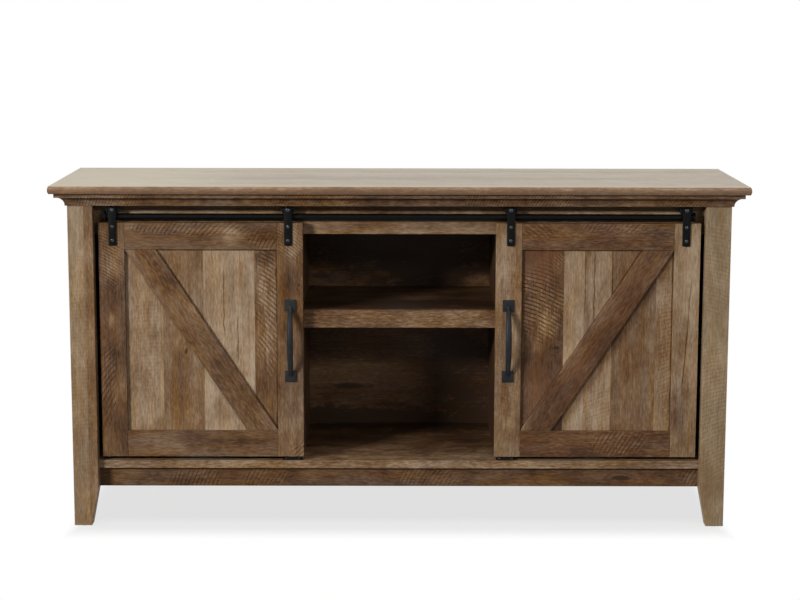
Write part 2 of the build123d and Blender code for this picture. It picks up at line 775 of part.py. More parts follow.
def door_stile(edge_x, inner_x, screw_holes, handle_holes):
    """Upright of a door between its outer edge and its grooved inner edge."""
    near_x, far_x = sorted((edge_x, inner_x))
    into = 1 if inner_x > edge_x else -1
    groove_near_x, groove_far_x = sorted((inner_x, inner_x - into * frame_groove_depth))
    with BuildPart() as stile:
        block((near_x, door_front_y, door_bottom_z), (far_x, door_back_y, door_top_z))
        chamfer(stile.faces().sort_by(Axis.Y)[0].edges(), length=edge_break)
        block(
            (groove_near_x, groove_front_y, door_bottom_z),
            (groove_far_x, groove_back_y, door_top_z),
            Mode.SUBTRACT,
        )
        block(
            (near_x, guide_slot_low_y, door_bottom_z),
            (far_x, guide_slot_high_y, guide_slot_z),
            Mode.SUBTRACT,
        )
        for hole_x, hole_z in screw_holes:
            peg(
                Vector(hole_x, door_front_y, hole_z),
                y_way,
                strap_screw_bite,
                strap_screw_radius + screw_clearance,
                Mode.SUBTRACT,
            )
        for hole_x, hole_z in handle_holes:
            peg(
                Vector(hole_x, door_front_y, hole_z),
                y_way,
                door_thick,
                handle_screw_radius + screw_clearance,
                Mode.SUBTRACT,
            )
    return stile


def door_cross_rail(low_x, high_x, low_z, high_z, grooved_z, slotted):
    """Cross member of a door with stub tenons that fill the grooves of the stiles."""
    tenon = frame_groove_depth - tenon_end_gap
    into = 1 if grooved_z == low_z else -1
    groove_low_z, groove_high_z = sorted((grooved_z, grooved_z + into * frame_groove_depth))
    with BuildPart() as cross_rail:
        block((low_x, door_front_y, low_z), (high_x, door_back_y, high_z))
        chamfer(cross_rail.faces().sort_by(Axis.Y)[0].edges(), length=edge_break)
        block((low_x - tenon, groove_front_y, low_z), (high_x + tenon, groove_back_y, high_z))
        block(
            (low_x - tenon, groove_front_y, groove_low_z),
            (high_x + tenon, groove_back_y, groove_high_z),
            Mode.SUBTRACT,
        )
        if slotted:
            block(
                (low_x - tenon, guide_slot_low_y, low_z),
                (high_x + tenon, guide_slot_high_y, guide_slot_z),
                Mode.SUBTRACT,
            )
    return cross_rail


def brace_foot(width, height):
    """Length of a brace's level end, so that the board between two corners keeps its width."""
    square = brace_width ** 2
    spread = height ** 2 - square
    root = sqrt((square * width) ** 2 + spread * square * (height ** 2 + width ** 2))
    return (root - square * width) / spread


def handle_grip(axis_x):
    """Bowed grip that swells towards its middle, from plate to plate."""
    root_y = door_front_y - handle_plate_thick
    low_z = handle_ends_z[0] + handle_end_shift
    high_z = handle_ends_z[1] - handle_end_shift
    bow = ThreePointArc(
        (axis_x, root_y, low_z),
        (axis_x, door_front_y - handle_stand_off, door_mid_z),
        (axis_x, root_y, high_z),
    )
    with BuildPart() as grip:
        for i in range(handle_grip_sections):
            along = (1 - cos(pi * i / (handle_grip_sections - 1))) / 2
            swell = sin(pi * along) ** handle_grip_fullness
            width = handle_grip_end_width + (handle_grip_width - handle_grip_end_width) * swell
            thick = handle_grip_end_thick + (handle_grip_thick - handle_grip_end_thick) * swell
            with BuildSketch(Plane(bow @ along, x_dir=(1, 0, 0), z_dir=bow % along)) as section:
                Rectangle(width, thick)
                chamfer(section.vertices(), length=handle_grip_corner * thick)
        loft(ruled=True)
    return grip.part


for side, way in (("left", -1), ("right", 1)):
    door = f"{side}_door"
    outer_x, inner_x = way * door_outer_x, way * door_inner_x
    open_outer_x = outer_x - way * stile_width
    open_inner_x = inner_x + way * stile_width
    open_low_x, open_high_x = sorted((open_outer_x, open_inner_x))
    straps_x = [way * x for x in strap_axes_x]
    handle_x = inner_x + way * handle_inset

    # Frame
    outer_screws = [(straps_x[0], z) for z in strap_screws_z]
    inner_screws = [(straps_x[1], z) for z in strap_screws_z]
    handle_holes = [(handle_x, z) for z in handle_ends_z]
    save(door_stile(outer_x, open_outer_x, outer_screws, []), f"{door}_outer_stile")
    save(door_stile(inner_x, open_inner_x, inner_screws, handle_holes), f"{door}_inner_stile")
    top_rail = door_cross_rail(open_low_x, open_high_x, frame_high_z, door_top_z, frame_high_z, False)
    save(top_rail, f"{door}_top_rail")
    bottom_rail = door_cross_rail(open_low_x, open_high_x, door_bottom_z, frame_low_z, frame_low_z, True)
    save(bottom_rail, f"{door}_bottom_rail")

    # Panel in the grooves, and the brace planted on it from corner to corner
    panel_reach = frame_groove_depth - door_panel_end_gap
    with BuildPart() as door_panel:
        block(
            (open_low_x - panel_reach, panel_front_y, frame_low_z - panel_reach),
            (open_high_x + panel_reach, panel_back_y, frame_high_z + panel_reach),
        )
    save(door_panel, f"{door}_panel")

    foot = brace_foot(open_high_x - open_low_x, frame_high_z - frame_low_z)
    with BuildPart() as brace:
        with BuildSketch(Plane.XZ.offset(-panel_front_y)):
            with BuildLine():
                Polyline(
                    (open_outer_x, frame_high_z),
                    (open_outer_x - way * foot, frame_high_z),
                    (open_inner_x, frame_low_z),
                    (open_inner_x + way * foot, frame_low_z),
                    close=True,
                )
            make_face()
        extrude(amount=brace_thick)
        chamfer(brace.faces().sort_by(Axis.Y)[0].edges(), length=edge_break)
    save(brace, f"{door}_brace")

    # Hangers: a strap with a round head on each stile
    with BuildPart() as hangers:
        with BuildSketch(Plane.XZ.offset(-door_front_y)):
            for strap_x in straps_x:
                strap_low_z = door_top_z - strap_overlap
                with Locations((strap_x, (strap_low_z + axle_z) / 2)):
                    Rectangle(strap_width, axle_z - strap_low_z)
                with Locations((strap_x, axle_z)):
                    Circle(strap_width / 2)
                    RegularPolygon(axle_radius + screw_clearance, head_sides, mode=Mode.SUBTRACT)
                with Locations(*[(strap_x, z) for z in strap_screws_z]):
                    RegularPolygon(strap_screw_radius + screw_clearance, fitting_sides, mode=Mode.SUBTRACT)
        extrude(amount=strap_thick)
    save(hangers, f"{door}_hangers")

    with BuildPart() as hanger_screws:
        for strap_x in straps_x:
            for screw_z in strap_screws_z:
                seat = Vector(strap_x, door_front_y - strap_thick, screw_z)
                peg(seat, y_way, strap_thick + strap_screw_bite - screw_clearance, strap_screw_radius)
                button_head(seat, -y_way, strap_screw_head_radius, strap_screw_head_rise)
    save(hanger_screws, f"{door}_hanger_screws")

    # Axle bolts: tapered head, collar between strap and wheel, and a nut behind the wheel
    wheel_front_y = wheel_y - wheel_width / 2
    wheel_back_y = wheel_y + wheel_width / 2
    with BuildPart() as axle_bolts:
        for strap_x in straps_x:
            seat = Vector(strap_x, door_front_y - strap_thick, axle_z)
            nut_y = wheel_back_y + wheel_side_clearance
            button_head(seat, -y_way, axle_head_radius, axle_head_rise)
            peg(seat, y_way, nut_y + axle_nut_thick - seat.Y, axle_radius, sides=head_sides)
            collar = Vector(strap_x, door_front_y, axle_z)
            peg(collar, y_way, wheel_strap_gap - wheel_side_clearance, axle_collar_radius)
            with BuildSketch(Plane((strap_x, nut_y, axle_z), x_dir=(1, 0, 0), z_dir=(0, 1, 0))):
                RegularPolygon(axle_nut_radius, axle_nut_sides)
            extrude(amount=axle_nut_thick)
    save(axle_bolts, f"{door}_axle_bolts")

    # Grooved wheels on the rail: a level root and two flanks at 45 degrees, all just clear of the tube
    clear_radius = rail_radius + wheel_rail_clearance
    flange_radius = wheel_groove_radius + wheel_flange_rise
    root_half = clear_radius * (sqrt(2) - 1)
    rim = wheel_width / 2 - root_half - wheel_flange_rise
    for place, strap_x in zip(("outer", "inner"), straps_x):
        with BuildPart() as wheel:
            with BuildSketch(Plane((strap_x, wheel_front_y, axle_z), x_dir=(1, 0, 0), z_dir=(0, 1, 0))):
                RegularPolygon(flange_radius, wheel_sides)
            extrude(amount=rim + wheel_flange_rise)
            chamfer(wheel.faces().sort_by(Axis.Y)[-1].edges(), wheel_flange_rise)
            extrude(wheel.faces().sort_by(Axis.Y)[-1], amount=root_half)
            mirror(about=Plane((strap_x, wheel_y, axle_z), z_dir=(0, 1, 0)))
            with BuildSketch(Plane((strap_x, wheel_front_y, axle_z), x_dir=(1, 0, 0), z_dir=(0, 1, 0))):
                RegularPolygon(axle_radius + axle_clearance, head_sides, major_radius=False)
            extrude(amount=wheel_width, mode=Mode.SUBTRACT)
        save(wheel, f"{side}_{place}_wheel")

    # Handle: square plates, round bosses and a bowed grip
    with BuildPart() as handle:
        with BuildSketch(Plane.XZ.offset(-door_front_y)):
            with Locations(*[(handle_x, z) for z in handle_ends_z]):
                Rectangle(handle_plate, handle_plate)
        extrude(amount=handle_plate_thick)
        plate_edges = handle.faces().filter_by(Axis.Y).group_by(Axis.Y)[0].edges()
        chamfer(plate_edges, length=handle_plate_bevel)
        for end_z, shift in zip(handle_ends_z, (handle_end_shift, -handle_end_shift)):
            plate_front = Vector(handle_x, door_front_y - handle_plate_thick, end_z + shift)
            button_head(plate_front, -y_way, handle_boss_radius, handle_boss_rise)
        add(handle_grip(handle_x))
        for end_z in handle_ends_z:
            peg(
                Vector(handle_x, door_front_y, end_z),
                -y_way,
                handle_screw_bite,
                handle_screw_radius + screw_clearance,
                Mode.SUBTRACT,
            )
    save(handle, f"{door}_handle")

    with BuildPart() as handle_screws:
        for end_z in handle_ends_z:
            head = Vector(handle_x, door_back_y, end_z)
            peg(head, -y_way, handle_screw_reach, handle_screw_radius)
            peg(head, y_way, handle_screw_head_thick, handle_screw_head_radius)
    save(handle_screws, f"{door}_handle_screws")

print(f"door travel {door_travel:.1f} mm, rolling radius {axle_z - rail_z - rail_radius:.2f} mm")
print(f"axles at x {strap_axes_x[0]:.1f} and {strap_axes_x[1]:.1f}, y {wheel_y:.1f}, z {axle_z:.1f}")
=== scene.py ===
# %% [markdown]
# # A media stand with sliding barn doors
# Every board, screw and wheel of the stand is already in place as a solid, in metres, with the floor at
# height zero. This lesson dresses those solids: first the camera and the light, then the sawn-oak print of
# the boards, then the black iron of the running gear, and last the small pieces whose shape needs more than
# the solid gives.

# %% Load the frame
from collections import namedtuple
from math import cos, pi, radians, sin

import bmesh
import bpy
from mathutils import Color, Matrix, Vector


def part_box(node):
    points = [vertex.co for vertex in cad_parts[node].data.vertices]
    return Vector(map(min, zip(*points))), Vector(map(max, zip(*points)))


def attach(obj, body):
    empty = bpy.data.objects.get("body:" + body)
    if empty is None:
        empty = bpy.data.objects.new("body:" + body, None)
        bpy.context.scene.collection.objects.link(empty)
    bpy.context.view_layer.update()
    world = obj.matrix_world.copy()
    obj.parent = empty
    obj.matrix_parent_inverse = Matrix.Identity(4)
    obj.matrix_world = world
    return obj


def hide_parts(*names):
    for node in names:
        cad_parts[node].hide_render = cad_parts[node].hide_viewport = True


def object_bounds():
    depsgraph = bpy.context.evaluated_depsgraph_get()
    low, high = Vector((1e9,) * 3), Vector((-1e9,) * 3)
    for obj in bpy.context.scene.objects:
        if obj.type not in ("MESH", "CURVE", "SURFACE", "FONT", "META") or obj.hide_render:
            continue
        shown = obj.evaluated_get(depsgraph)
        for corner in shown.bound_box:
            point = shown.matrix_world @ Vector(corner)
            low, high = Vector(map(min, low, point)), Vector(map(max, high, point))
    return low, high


LEVEL = Vector((1, 0, 0))
FRONT = Vector((0, -1, 0))
DEEP = Vector((0, 1, 0))
UPRIGHT = Vector((0, 0, 1))
RIGHT_ANGLE = pi / 2

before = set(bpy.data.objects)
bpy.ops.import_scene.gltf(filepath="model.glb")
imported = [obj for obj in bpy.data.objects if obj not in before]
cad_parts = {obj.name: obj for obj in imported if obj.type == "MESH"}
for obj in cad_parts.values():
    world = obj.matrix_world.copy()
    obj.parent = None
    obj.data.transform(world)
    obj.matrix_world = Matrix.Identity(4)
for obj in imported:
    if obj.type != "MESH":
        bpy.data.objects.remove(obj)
cad_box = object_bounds()
scene = bpy.context.scene
scene.view_settings.view_transform = "Standard"

# %% [markdown]
# The camera stands a little over four metres away, about 40 cm above the top, and looks down by nine
# degrees. Its place was worked out from the corners of the top and the feet of the legs, so the stand falls
# on the same pixels as in the picture. The picture is 800 pixels wide, and the focal length in pixels gives
# the lens on a 36 mm sensor.

# %% Camera
PICTURE_WIDTH_PIXELS = 800
FOCAL_LENGTH_PIXELS = 1947.7
SENSOR_WIDTH = 36.0
CAMERA_PLACE = Vector((-0.0077, -4.3862, 1.1848))
CAMERA_PITCH = radians(9.113)
CAMERA_YAW = radians(0.122)
CAMERA_ROLL = radians(0.124)

lens = bpy.data.cameras.new("camera")
lens.sensor_width = SENSOR_WIDTH
lens.lens = SENSOR_WIDTH * FOCAL_LENGTH_PIXELS / PICTURE_WIDTH_PIXELS
camera = bpy.data.objects.new("camera", lens)
aim = Matrix.Rotation(RIGHT_ANGLE - CAMERA_PITCH, 4, "X") @ Matrix.Rotation(CAMERA_ROLL, 4, "Z")
camera.matrix_world = Matrix.Translation(CAMERA_PLACE) @ Matrix.Rotation(-CAMERA_YAW, 4, "Z") @ aim
scene.collection.objects.link(camera)
scene.camera = camera
print("lens", round(lens.lens, 1), "mm")

# %% [markdown]
# A material is a small network of nodes. Written out node by node it is long and hard to follow, so one
# class stands for the output of a node: adding or multiplying two of them adds the Math node that does it,
# and one method makes any other node. The rest of the lesson then reads as plain arithmetic.

# %% Shader arithmetic
class Field:
    """A number, colour or vector that changes over a surface: one output socket of a node."""

    def __init__(self, tree, socket):
        self.tree = tree
        self.socket = socket

    def node(self, kind, settings=None, sockets=None, out=0):
        """Any node: its settings are set first, then its sockets get their values or links."""
        made = self.tree.nodes.new(kind)
        for name, value in (settings or {}).items():
            if name == "stops":
                fill_ramp(made.color_ramp, value)
            else:
                setattr(made, name, value)
        for name, value in (sockets or {}).items():
            if isinstance(value, Field):
                self.tree.links.new(value.socket, made.inputs[name])
            else:
                made.inputs[name].default_value = value
        return Field(self.tree, made.outputs[out])

    def maths(self, operation, first, second=0.0):
        return self.node("ShaderNodeMath", {"operation": operation}, {0: first, 1: second})

    def __add__(self, other):
        return self.maths("ADD", self, other)

    def __radd__(self, other):
        return self.maths("ADD", other, self)

    def __sub__(self, other):
        return self.maths("SUBTRACT", self, other)

    def __rsub__(self, other):
        return self.maths("SUBTRACT", other, self)

    def __mul__(self, other):
        return self.maths("MULTIPLY", self, other)

    def __rmul__(self, other):
        return self.maths("MULTIPLY", other, self)

    def __truediv__(self, other):
        return self.maths("DIVIDE", self, other)

    def __gt__(self, other):
        return self.maths("GREATER_THAN", self, other)

    def size(self):
        """The value without its sign."""
        return self.maths("ABSOLUTE", self)

    def root(self):
        return self.maths("SQRT", self)

    def fraction(self):
        """What is left of the value over a whole number."""
        return self.maths("FRACT", self)

    def sine(self):
        return self.maths("SINE", self)

    def larger(self, other):
        """The larger of the two values."""
        return self.maths("MAXIMUM", self, other)

    def dot(self, direction):
        """How far this vector reaches along a fixed direction."""
        terms = {0: self, 1: direction}
        return self.node("ShaderNodeVectorMath", {"operation": "DOT_PRODUCT"}, terms, out=1)

    def fade(self, start, end):
        """0 below start and 1 above end, with a soft run between; start may be the larger of the two."""
        limits = {"Value": self, "From Min": start, "From Max": end}
        return self.node("ShaderNodeMapRange", {"interpolation_type": "SMOOTHSTEP"}, limits)

    def mix(self, first, second):
        """From the first colour to the second as this value goes from 0 to 1."""
        return self.node("ShaderNodeMix", {"data_type": "RGBA"}, {0: self, 6: first, 7: second}, out=2)


def fill_ramp(ramp, stops):
    """Sets a colour ramp's stops from pairs of place and colour."""
    while len(ramp.elements) < len(stops):
        ramp.elements.new(1.0)
    for element, (position, colour) in zip(ramp.elements, stops):
        element.position = position
        element.color = colour


FULL_CHANNEL = 255


def paint(red, green, blue):
    """A screen colour, each channel from 0 to 255, as Blender's linear colour."""
    shown = Color([channel / FULL_CHANNEL for channel in (red, green, blue)])
    return (*shown.from_srgb_to_scene_linear(), 1.0)


def new_material(name):
    """An empty node material: the material, its surface shader and the place on the object in metres."""
    material = bpy.data.materials.new(name)
    material.use_nodes = True
    tree = material.node_tree
    shader = tree.nodes["Principled BSDF"]
    place = Field(tree, tree.nodes.new("ShaderNodeTexCoord").outputs["Object"])
    return material, shader, place


def plug(field, shader, socket):
    """Links a field to one of the surface shader's sockets."""
    field.tree.links.new(field.socket, shader.inputs[socket])


print("shader arithmetic ready")

# %% [markdown]
# The stand was photographed on a white sweep. A floor that is simply lit until it clips would throw too
# much light back on the boards, so the floor is mostly white to the camera by itself and keeps only part of
# its real shading. That part still shows the soft shadow under the stand. Beside and in front of it the
# floor turns white, so no horizon shows.

# %% Floor and surroundings
FLOOR_HALF_WIDTH = 30.0
FLOOR_WHITE_SHARE = 0.74
SHADOW_REACH_X = 0.70
SHADOW_REACH_Y = 0.19
SHADOW_FADE_X = 0.04
SHADOW_FADE_Y = 0.11
FLOOR_COLOUR = (0.95, 0.95, 0.95, 1.0)
FLOOR_BOUNCE_COLOUR = (0.28, 0.28, 0.28, 1.0)
WHITE = (1.0, 1.0, 1.0, 1.0)
AMBIENT_LIGHT = 0.03


def seen_directly(field):
    """1 for camera, mirror and glass rays, 0 for the rays that carry light from one surface to the next."""
    rays = field.tree.nodes.new("ShaderNodeLightPath").outputs
    kinds = ("Camera", "Glossy", "Transmission")
    camera_ray, mirror_ray, glass_ray = [Field(field.tree, rays[f"Is {kind} Ray"]) for kind in kinds]
    return camera_ray.larger(mirror_ray).larger(glass_ray)


shape = bmesh.new()
bmesh.ops.create_grid(shape, x_segments=1, y_segments=1, size=FLOOR_HALF_WIDTH)
floor_mesh = bpy.data.meshes.new("floor")
shape.to_mesh(floor_mesh)
shape.free()
floor = bpy.data.objects.new("floor", floor_mesh)
scene.collection.objects.link(floor)

material, shader, place = new_material("white_floor")
shader.inputs["Roughness"].default_value = 1.0
shader.inputs["Specular IOR Level"].default_value = 0.0
shown = seen_directly(place)
plug(shown.mix(FLOOR_BOUNCE_COLOUR, FLOOR_COLOUR), shader, "Base Color")
past_x = (place.dot(LEVEL).size() - SHADOW_REACH_X) / SHADOW_FADE_X
past_y = (place.dot(DEEP).size() - SHADOW_REACH_Y) / SHADOW_FADE_Y
outside = past_x.larger(past_y).fade(0.0, 1.0)
white_share = FLOOR_WHITE_SHARE + (1 - FLOOR_WHITE_SHARE) * outside
glow = place.node("ShaderNodeEmission", {}, {"Color": WHITE, "Strength": 1.0})
lit = Field(place.tree, shader.outputs[0])
surface = place.node("ShaderNodeMixShader", {}, {0: white_share * shown, 1: lit, 2: glow})
place.tree.links.new(surface.socket, place.tree.nodes["Material Output"].inputs["Surface"])
floor_mesh.materials.append(material)

world = bpy.data.worlds.new("studio")
world.use_nodes = True
scene.world = world
backdrop = world.node_tree.nodes["Background"]
ground = Field(world.node_tree, backdrop.outputs[0])
backdrop.inputs["Color"].default_value = WHITE
brightness = AMBIENT_LIGHT + (1 - AMBIENT_LIGHT) * seen_directly(ground)
world.node_tree.links.new(brightness.socket, backdrop.inputs["Strength"])
print("floor", 2 * FLOOR_HALF_WIDTH, "m wide")

# %% [markdown]
# The shadows inside the open bay tell where the light stood: the floor of the bay is lit to the right of a
# slanting line, so the main lamp is to the left and low. A wide, weak lamp on the right lights the left
# half of the bay's back, and a soft box overhead lights the top. A lamp's power is worked out from the
# share of full light that it should give on the side that it faces. The main lamp and this weak one leave
# the floor out, so that only the soft shadow of the box overhead lies under the stand. Two more lamps light
# only the pieces of the back and the right end, which would be black from there, and hardly show in front.

# %% Lamps
AIM_POINT = Vector((0.0, -0.1, 0.42))
LAMP_DISTANCE = 8.0
Lamp = namedtuple("Lamp", "name across height size share side nodes")
BACK_NODES = ["back_panel", "rear_rail", "rear_leg_left", "rear_leg_right"]
RIGHT_END_NODES = ["end_panel_right", "crown_right", "front_leg_right", "rear_leg_right"]
LAMPS = [
    Lamp("main_lamp", radians(-45), radians(17), (1.6, 0.5), 0.60, FRONT, []),
    Lamp("fill_lamp", radians(28), radians(19), (2.6, 0.7), 0.15, FRONT, []),
    Lamp("back_lamp", radians(180), radians(25), (3.0, 1.6), 0.50, DEEP, BACK_NODES),
    Lamp("right_lamp", radians(90), radians(20), (2.0, 1.6), 0.42, LEVEL, RIGHT_END_NODES),
]
SOFT_BOX_HEIGHT = 3.0
SOFT_BOX_SIZE = (3.2, 1.8)
SOFT_BOX_PLACE_Y = -0.75
SOFT_BOX_SHARE = 0.85


def lamp_power(distance, share):
    """The power that gives a share of full light on a surface that faces a lamp at this distance."""
    return pi**2 * distance**2 * share


def add_lamp(name, place, target, width, depth, power):
    """A rectangular lamp that faces the target."""
    light = bpy.data.lights.new(name, "AREA")
    light.shape = "RECTANGLE"
    light.size = width
    light.size_y = depth
    light.energy = power
    lamp = bpy.data.objects.new(name, light)
    facing = (target - place).to_track_quat("-Z", "Y").to_matrix().to_4x4()
    lamp.matrix_world = Matrix.Translation(place) @ facing
    scene.collection.objects.link(lamp)
    print(name, round(power), "W")
    return lamp


def lit_by(lamp):
    """The collection that tells a lamp what to light: its own nodes, or all but the floor."""
    chosen = bpy.data.collections.new(f"lit_by_{lamp.name}")
    for node in lamp.nodes:
        chosen.objects.link(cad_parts[node])
    if not lamp.nodes:
        chosen.objects.link(floor)
        chosen.collection_objects[0].light_linking.link_state = "EXCLUDE"
    return chosen


for lamp in LAMPS:
    level = Vector((sin(lamp.across), -cos(lamp.across), 0))
    way = level * cos(lamp.height) + UPRIGHT * sin(lamp.height)
    power = lamp_power(LAMP_DISTANCE, lamp.share) / way.dot(lamp.side)
    made = add_lamp(lamp.name, AIM_POINT + LAMP_DISTANCE * way, AIM_POINT, *lamp.size, power)
    made.light_linking.receiver_collection = lit_by(lamp)
soft_box_place = Vector((0.0, SOFT_BOX_PLACE_Y, SOFT_BOX_HEIGHT))
soft_box_power = lamp_power(SOFT_BOX_HEIGHT - cad_box[1][2], SOFT_BOX_SHARE)
add_lamp("soft_box", soft_box_place, Vector((0, SOFT_BOX_PLACE_Y, 0)), *SOFT_BOX_SIZE, soft_box_power)

# %% [markdown]
# The boards are printed to look like sawn oak from an old barn. Each board has its own tone, from pale grey
# tan to dark brown, and over it bands, streaks and fine fibres along the grain and cloudy stains across it.
# Saw strokes, knots and cracks stand in places of their own. All of it is one value, the darkness of the
# wood, and a colour ramp turns that into oak colours, which drift a little between warm and grey. Noise
# that is stretched along the grain costs no modelling and looks right on every side of a board.

# %% The oak print
FRONT_FACE = (LEVEL, UPRIGHT)
TOP_FACE = (LEVEL, DEEP + UPRIGHT)
END_FACE = (DEEP, UPRIGHT)
OAK_STOPS = [
    (0.00, paint(172, 150, 124)),
    (0.25, paint(147, 123, 97)),
    (0.50, paint(118, 91, 65)),
    (0.75, paint(90, 64, 43)),
    (1.00, paint(54, 37, 24)),
]
RED_OAK = paint(103, 66, 44)
GREY_OAK = paint(145, 132, 104)
# the colour of the painted sheen on the top's left end
PAINTED_SHEEN_OAK = paint(186, 173, 141)
GOLD_OAK = paint(116, 84, 53)
PLAIN_DETAIL = 3.0
CLOUD_DETAIL = 6.0
Streak = namedtuple("Streak", "length width strength offset detail", defaults=[PLAIN_DETAIL])
FIBRES = Streak(0.014, 0.0028, 0.75, 1.3)
BANDS = Streak(0.9, 0.030, 0.35, 2.2)
STREAKS = Streak(0.10, 0.005, 0.36, 3.1)
CLOUDS = Streak(0.09, 0.05, 0.90, 5.1, CLOUD_DETAIL)
WAVER = Streak(0.04, 0.025, 1.30, 8.4)
CHATTER = Streak(0.016, 0.012, 1.0, 11.7)
WARMTH = Streak(0.20, 0.026, 0.85, 14.9)
NOISE_MEAN = 0.5
NOISE_ROUGHNESS = 0.6
PLANK_LOT = 3.7


def across_grain(grain):
    """A direction that crosses the grain on every side of a board."""
    side = UPRIGHT if grain == DEEP else DEEP
    return side + grain.cross(side)


class Board:
    """What the marks on one board share: its place, its grain and its own run of noise."""

    def __init__(self, place, grain, face, seed, joins):
        self.place = place
        self.u = place.dot(face[0])
        self.v = place.dot(face[1])
        self.along = place.dot(grain)
        self.across = place.dot(across_grain(grain))
        self.lot = seed + sum((self.u > join.u) * PLANK_LOT for join in joins)

    def noise(self, streak):
        """Noise about zero, drawn out along the grain, as strong as the streak says."""
        point = {0: self.along / streak.length, 1: self.across / streak.width, 2: streak.offset + self.lot}
        where = self.place.node("ShaderNodeCombineXYZ", {}, point)
        look = {"Vector": where, "Scale": 1.0, "Detail": streak.detail, "Roughness": NOISE_ROUGHNESS}
        return (self.place.node("ShaderNodeTexNoise", {}, look) - NOISE_MEAN) * streak.strength

    def apart(self, mark, warp):
        """How far a point is from a mark's middle: 1 at its edge, with a wavering outline."""
        far_u = (self.u - mark.u) / mark.reach_u
        far_v = (self.v - mark.v) / mark.reach_v
        return (far_u * far_u + far_v * far_v).root() + warp


print("oak ramp of", len(OAK_STOPS), "stops")

# %% [markdown]
# The marks come next. A saw leaves strokes a few millimetres apart that bend like the edge of a large disc,
# and they are broken where the blade chattered. A crack is a thin wavering line along the grain, and the
# same line also paints shade: dark lines in the gaps beside panels and braces, and a broad one for a
# brace's shadow. A knot is a dark core inside rings that are longer along the grain than across it. Two
# measures in metres give a mark's place: u across the face and v up it. On a level board v is depth and
# height together, so it runs up the front edge and on over the top.

# %% Saw strokes, cracks, painted shade lines and knots
Patch = namedtuple("Patch", "u v reach_u reach_v change")
Knot = namedtuple("Knot", "u v reach_u reach_v")
Join = namedtuple("Join", "u change")
Tint = namedtuple("Tint", "u v reach_u reach_v share colour")
Edge = namedtuple("Edge", "height change warmth")
SAW_PITCH = 0.0085
FINE_PITCH = 0.0063
NOSE_PITCH = 0.0052
SAW_RADIUS = 0.30
Saw = namedtuple("Saw", "u v reach_u reach_v lean change pitch", defaults=[SAW_PITCH])
STROKE_WAVER = 0.5
STROKE_EDGE = (0.50, 0.95)
STROKE_MEAN = 0.35
STROKE_BREAKS = (-0.15, 0.05)
SAW_FEATHER = (1.0, 0.55)
CRACK_WIDTH = 0.0022
CRACK_WANDER = 0.006
CRACK_CHANGE = 0.45
CRACK_FULL_SHARE = 0.6
# the same line also paints shade: thin dark lines in gaps, and a broad one for a brace's shadow
CrackOrShadeLine = namedtuple("CrackOrShadeLine", "u v reach lean width change", defaults=[CRACK_WIDTH, CRACK_CHANGE])
KNOT_CHANGE = 0.26
KNOT_FEATHER = (1.0, 0.1)
KNOT_RINGS = 7.0
KNOT_RING_CHANGE = 0.06
KNOT_RING_FEATHER = (2.6, 0.8)


def saw_strokes(board, saw, waver):
    """Bent strokes inside a patch, dark and light about zero; lean is their slope from u in degrees."""
    lean = radians(saw.lean)
    far_u = board.u - saw.u
    far_v = board.v - saw.v
    run = far_u * cos(lean) + far_v * sin(lean)
    step = far_v * cos(lean) - far_u * sin(lean) + run * run / (2 * SAW_RADIUS)
    count = step / saw.pitch + waver * STROKE_WAVER
    ridge = (count.fraction() - 0.5).size() * 2
    broken = board.noise(CHATTER).fade(*STROKE_BREAKS)
    inside = board.apart(saw, waver).fade(*SAW_FEATHER)
    return (ridge.fade(*STROKE_EDGE) - STROKE_MEAN) * broken * inside


def crack_or_shade_line(board, crack_or_shade, waver):
    """1 on a thin wavering line along v, 0 elsewhere."""
    far_v = board.v - crack_or_shade.v
    off = (board.u - crack_or_shade.u - crack_or_shade.lean * far_v + CRACK_WANDER * waver).size()
    return off.fade(crack_or_shade.width, 0.0) * far_v.size().fade(crack_or_shade.reach, CRACK_FULL_SHARE * crack_or_shade.reach)


def knot_rings(board, knot, waver):
    """The darkness that a knot adds: its core and the rings about it."""
    apart = board.apart(knot, waver)
    rings = (KNOT_RINGS * apart).sine() * apart.fade(*KNOT_RING_FEATHER)
    return apart.fade(*KNOT_FEATHER) * KNOT_CHANGE + rings * KNOT_RING_CHANGE


print("marks ready")

# %% [markdown]
# One function puts a board's finish together and coats the board with it. The darkness sets the colour, the
# fibres and strokes give a little relief, and the foil is slightly duller where the print is dark. The
# gloss is low, as on printed foil, so only a view along a surface, such as the one over the top, shows the
# pale sheen of the room.

# %% Put the oak finish together
Gloss = namedtuple("Gloss", "roughness specular")
OAK_GLOSS = Gloss(0.46, 0.12)
TOP_GLOSS = Gloss(0.37, 0.50)
OAK_ROUGHNESS_CHANGE = 0.25
OAK_RELIEF = 0.10
OAK_RELIEF_HEIGHT = 0.0008
PATCH_FEATHER = (1.0, 0.35)
TINT_FEATHER = (1.2, 0.3)


def coat(node, material):
    """Gives a solid its finish."""
    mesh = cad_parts[node].data
    mesh.materials.clear()
    mesh.materials.append(material)


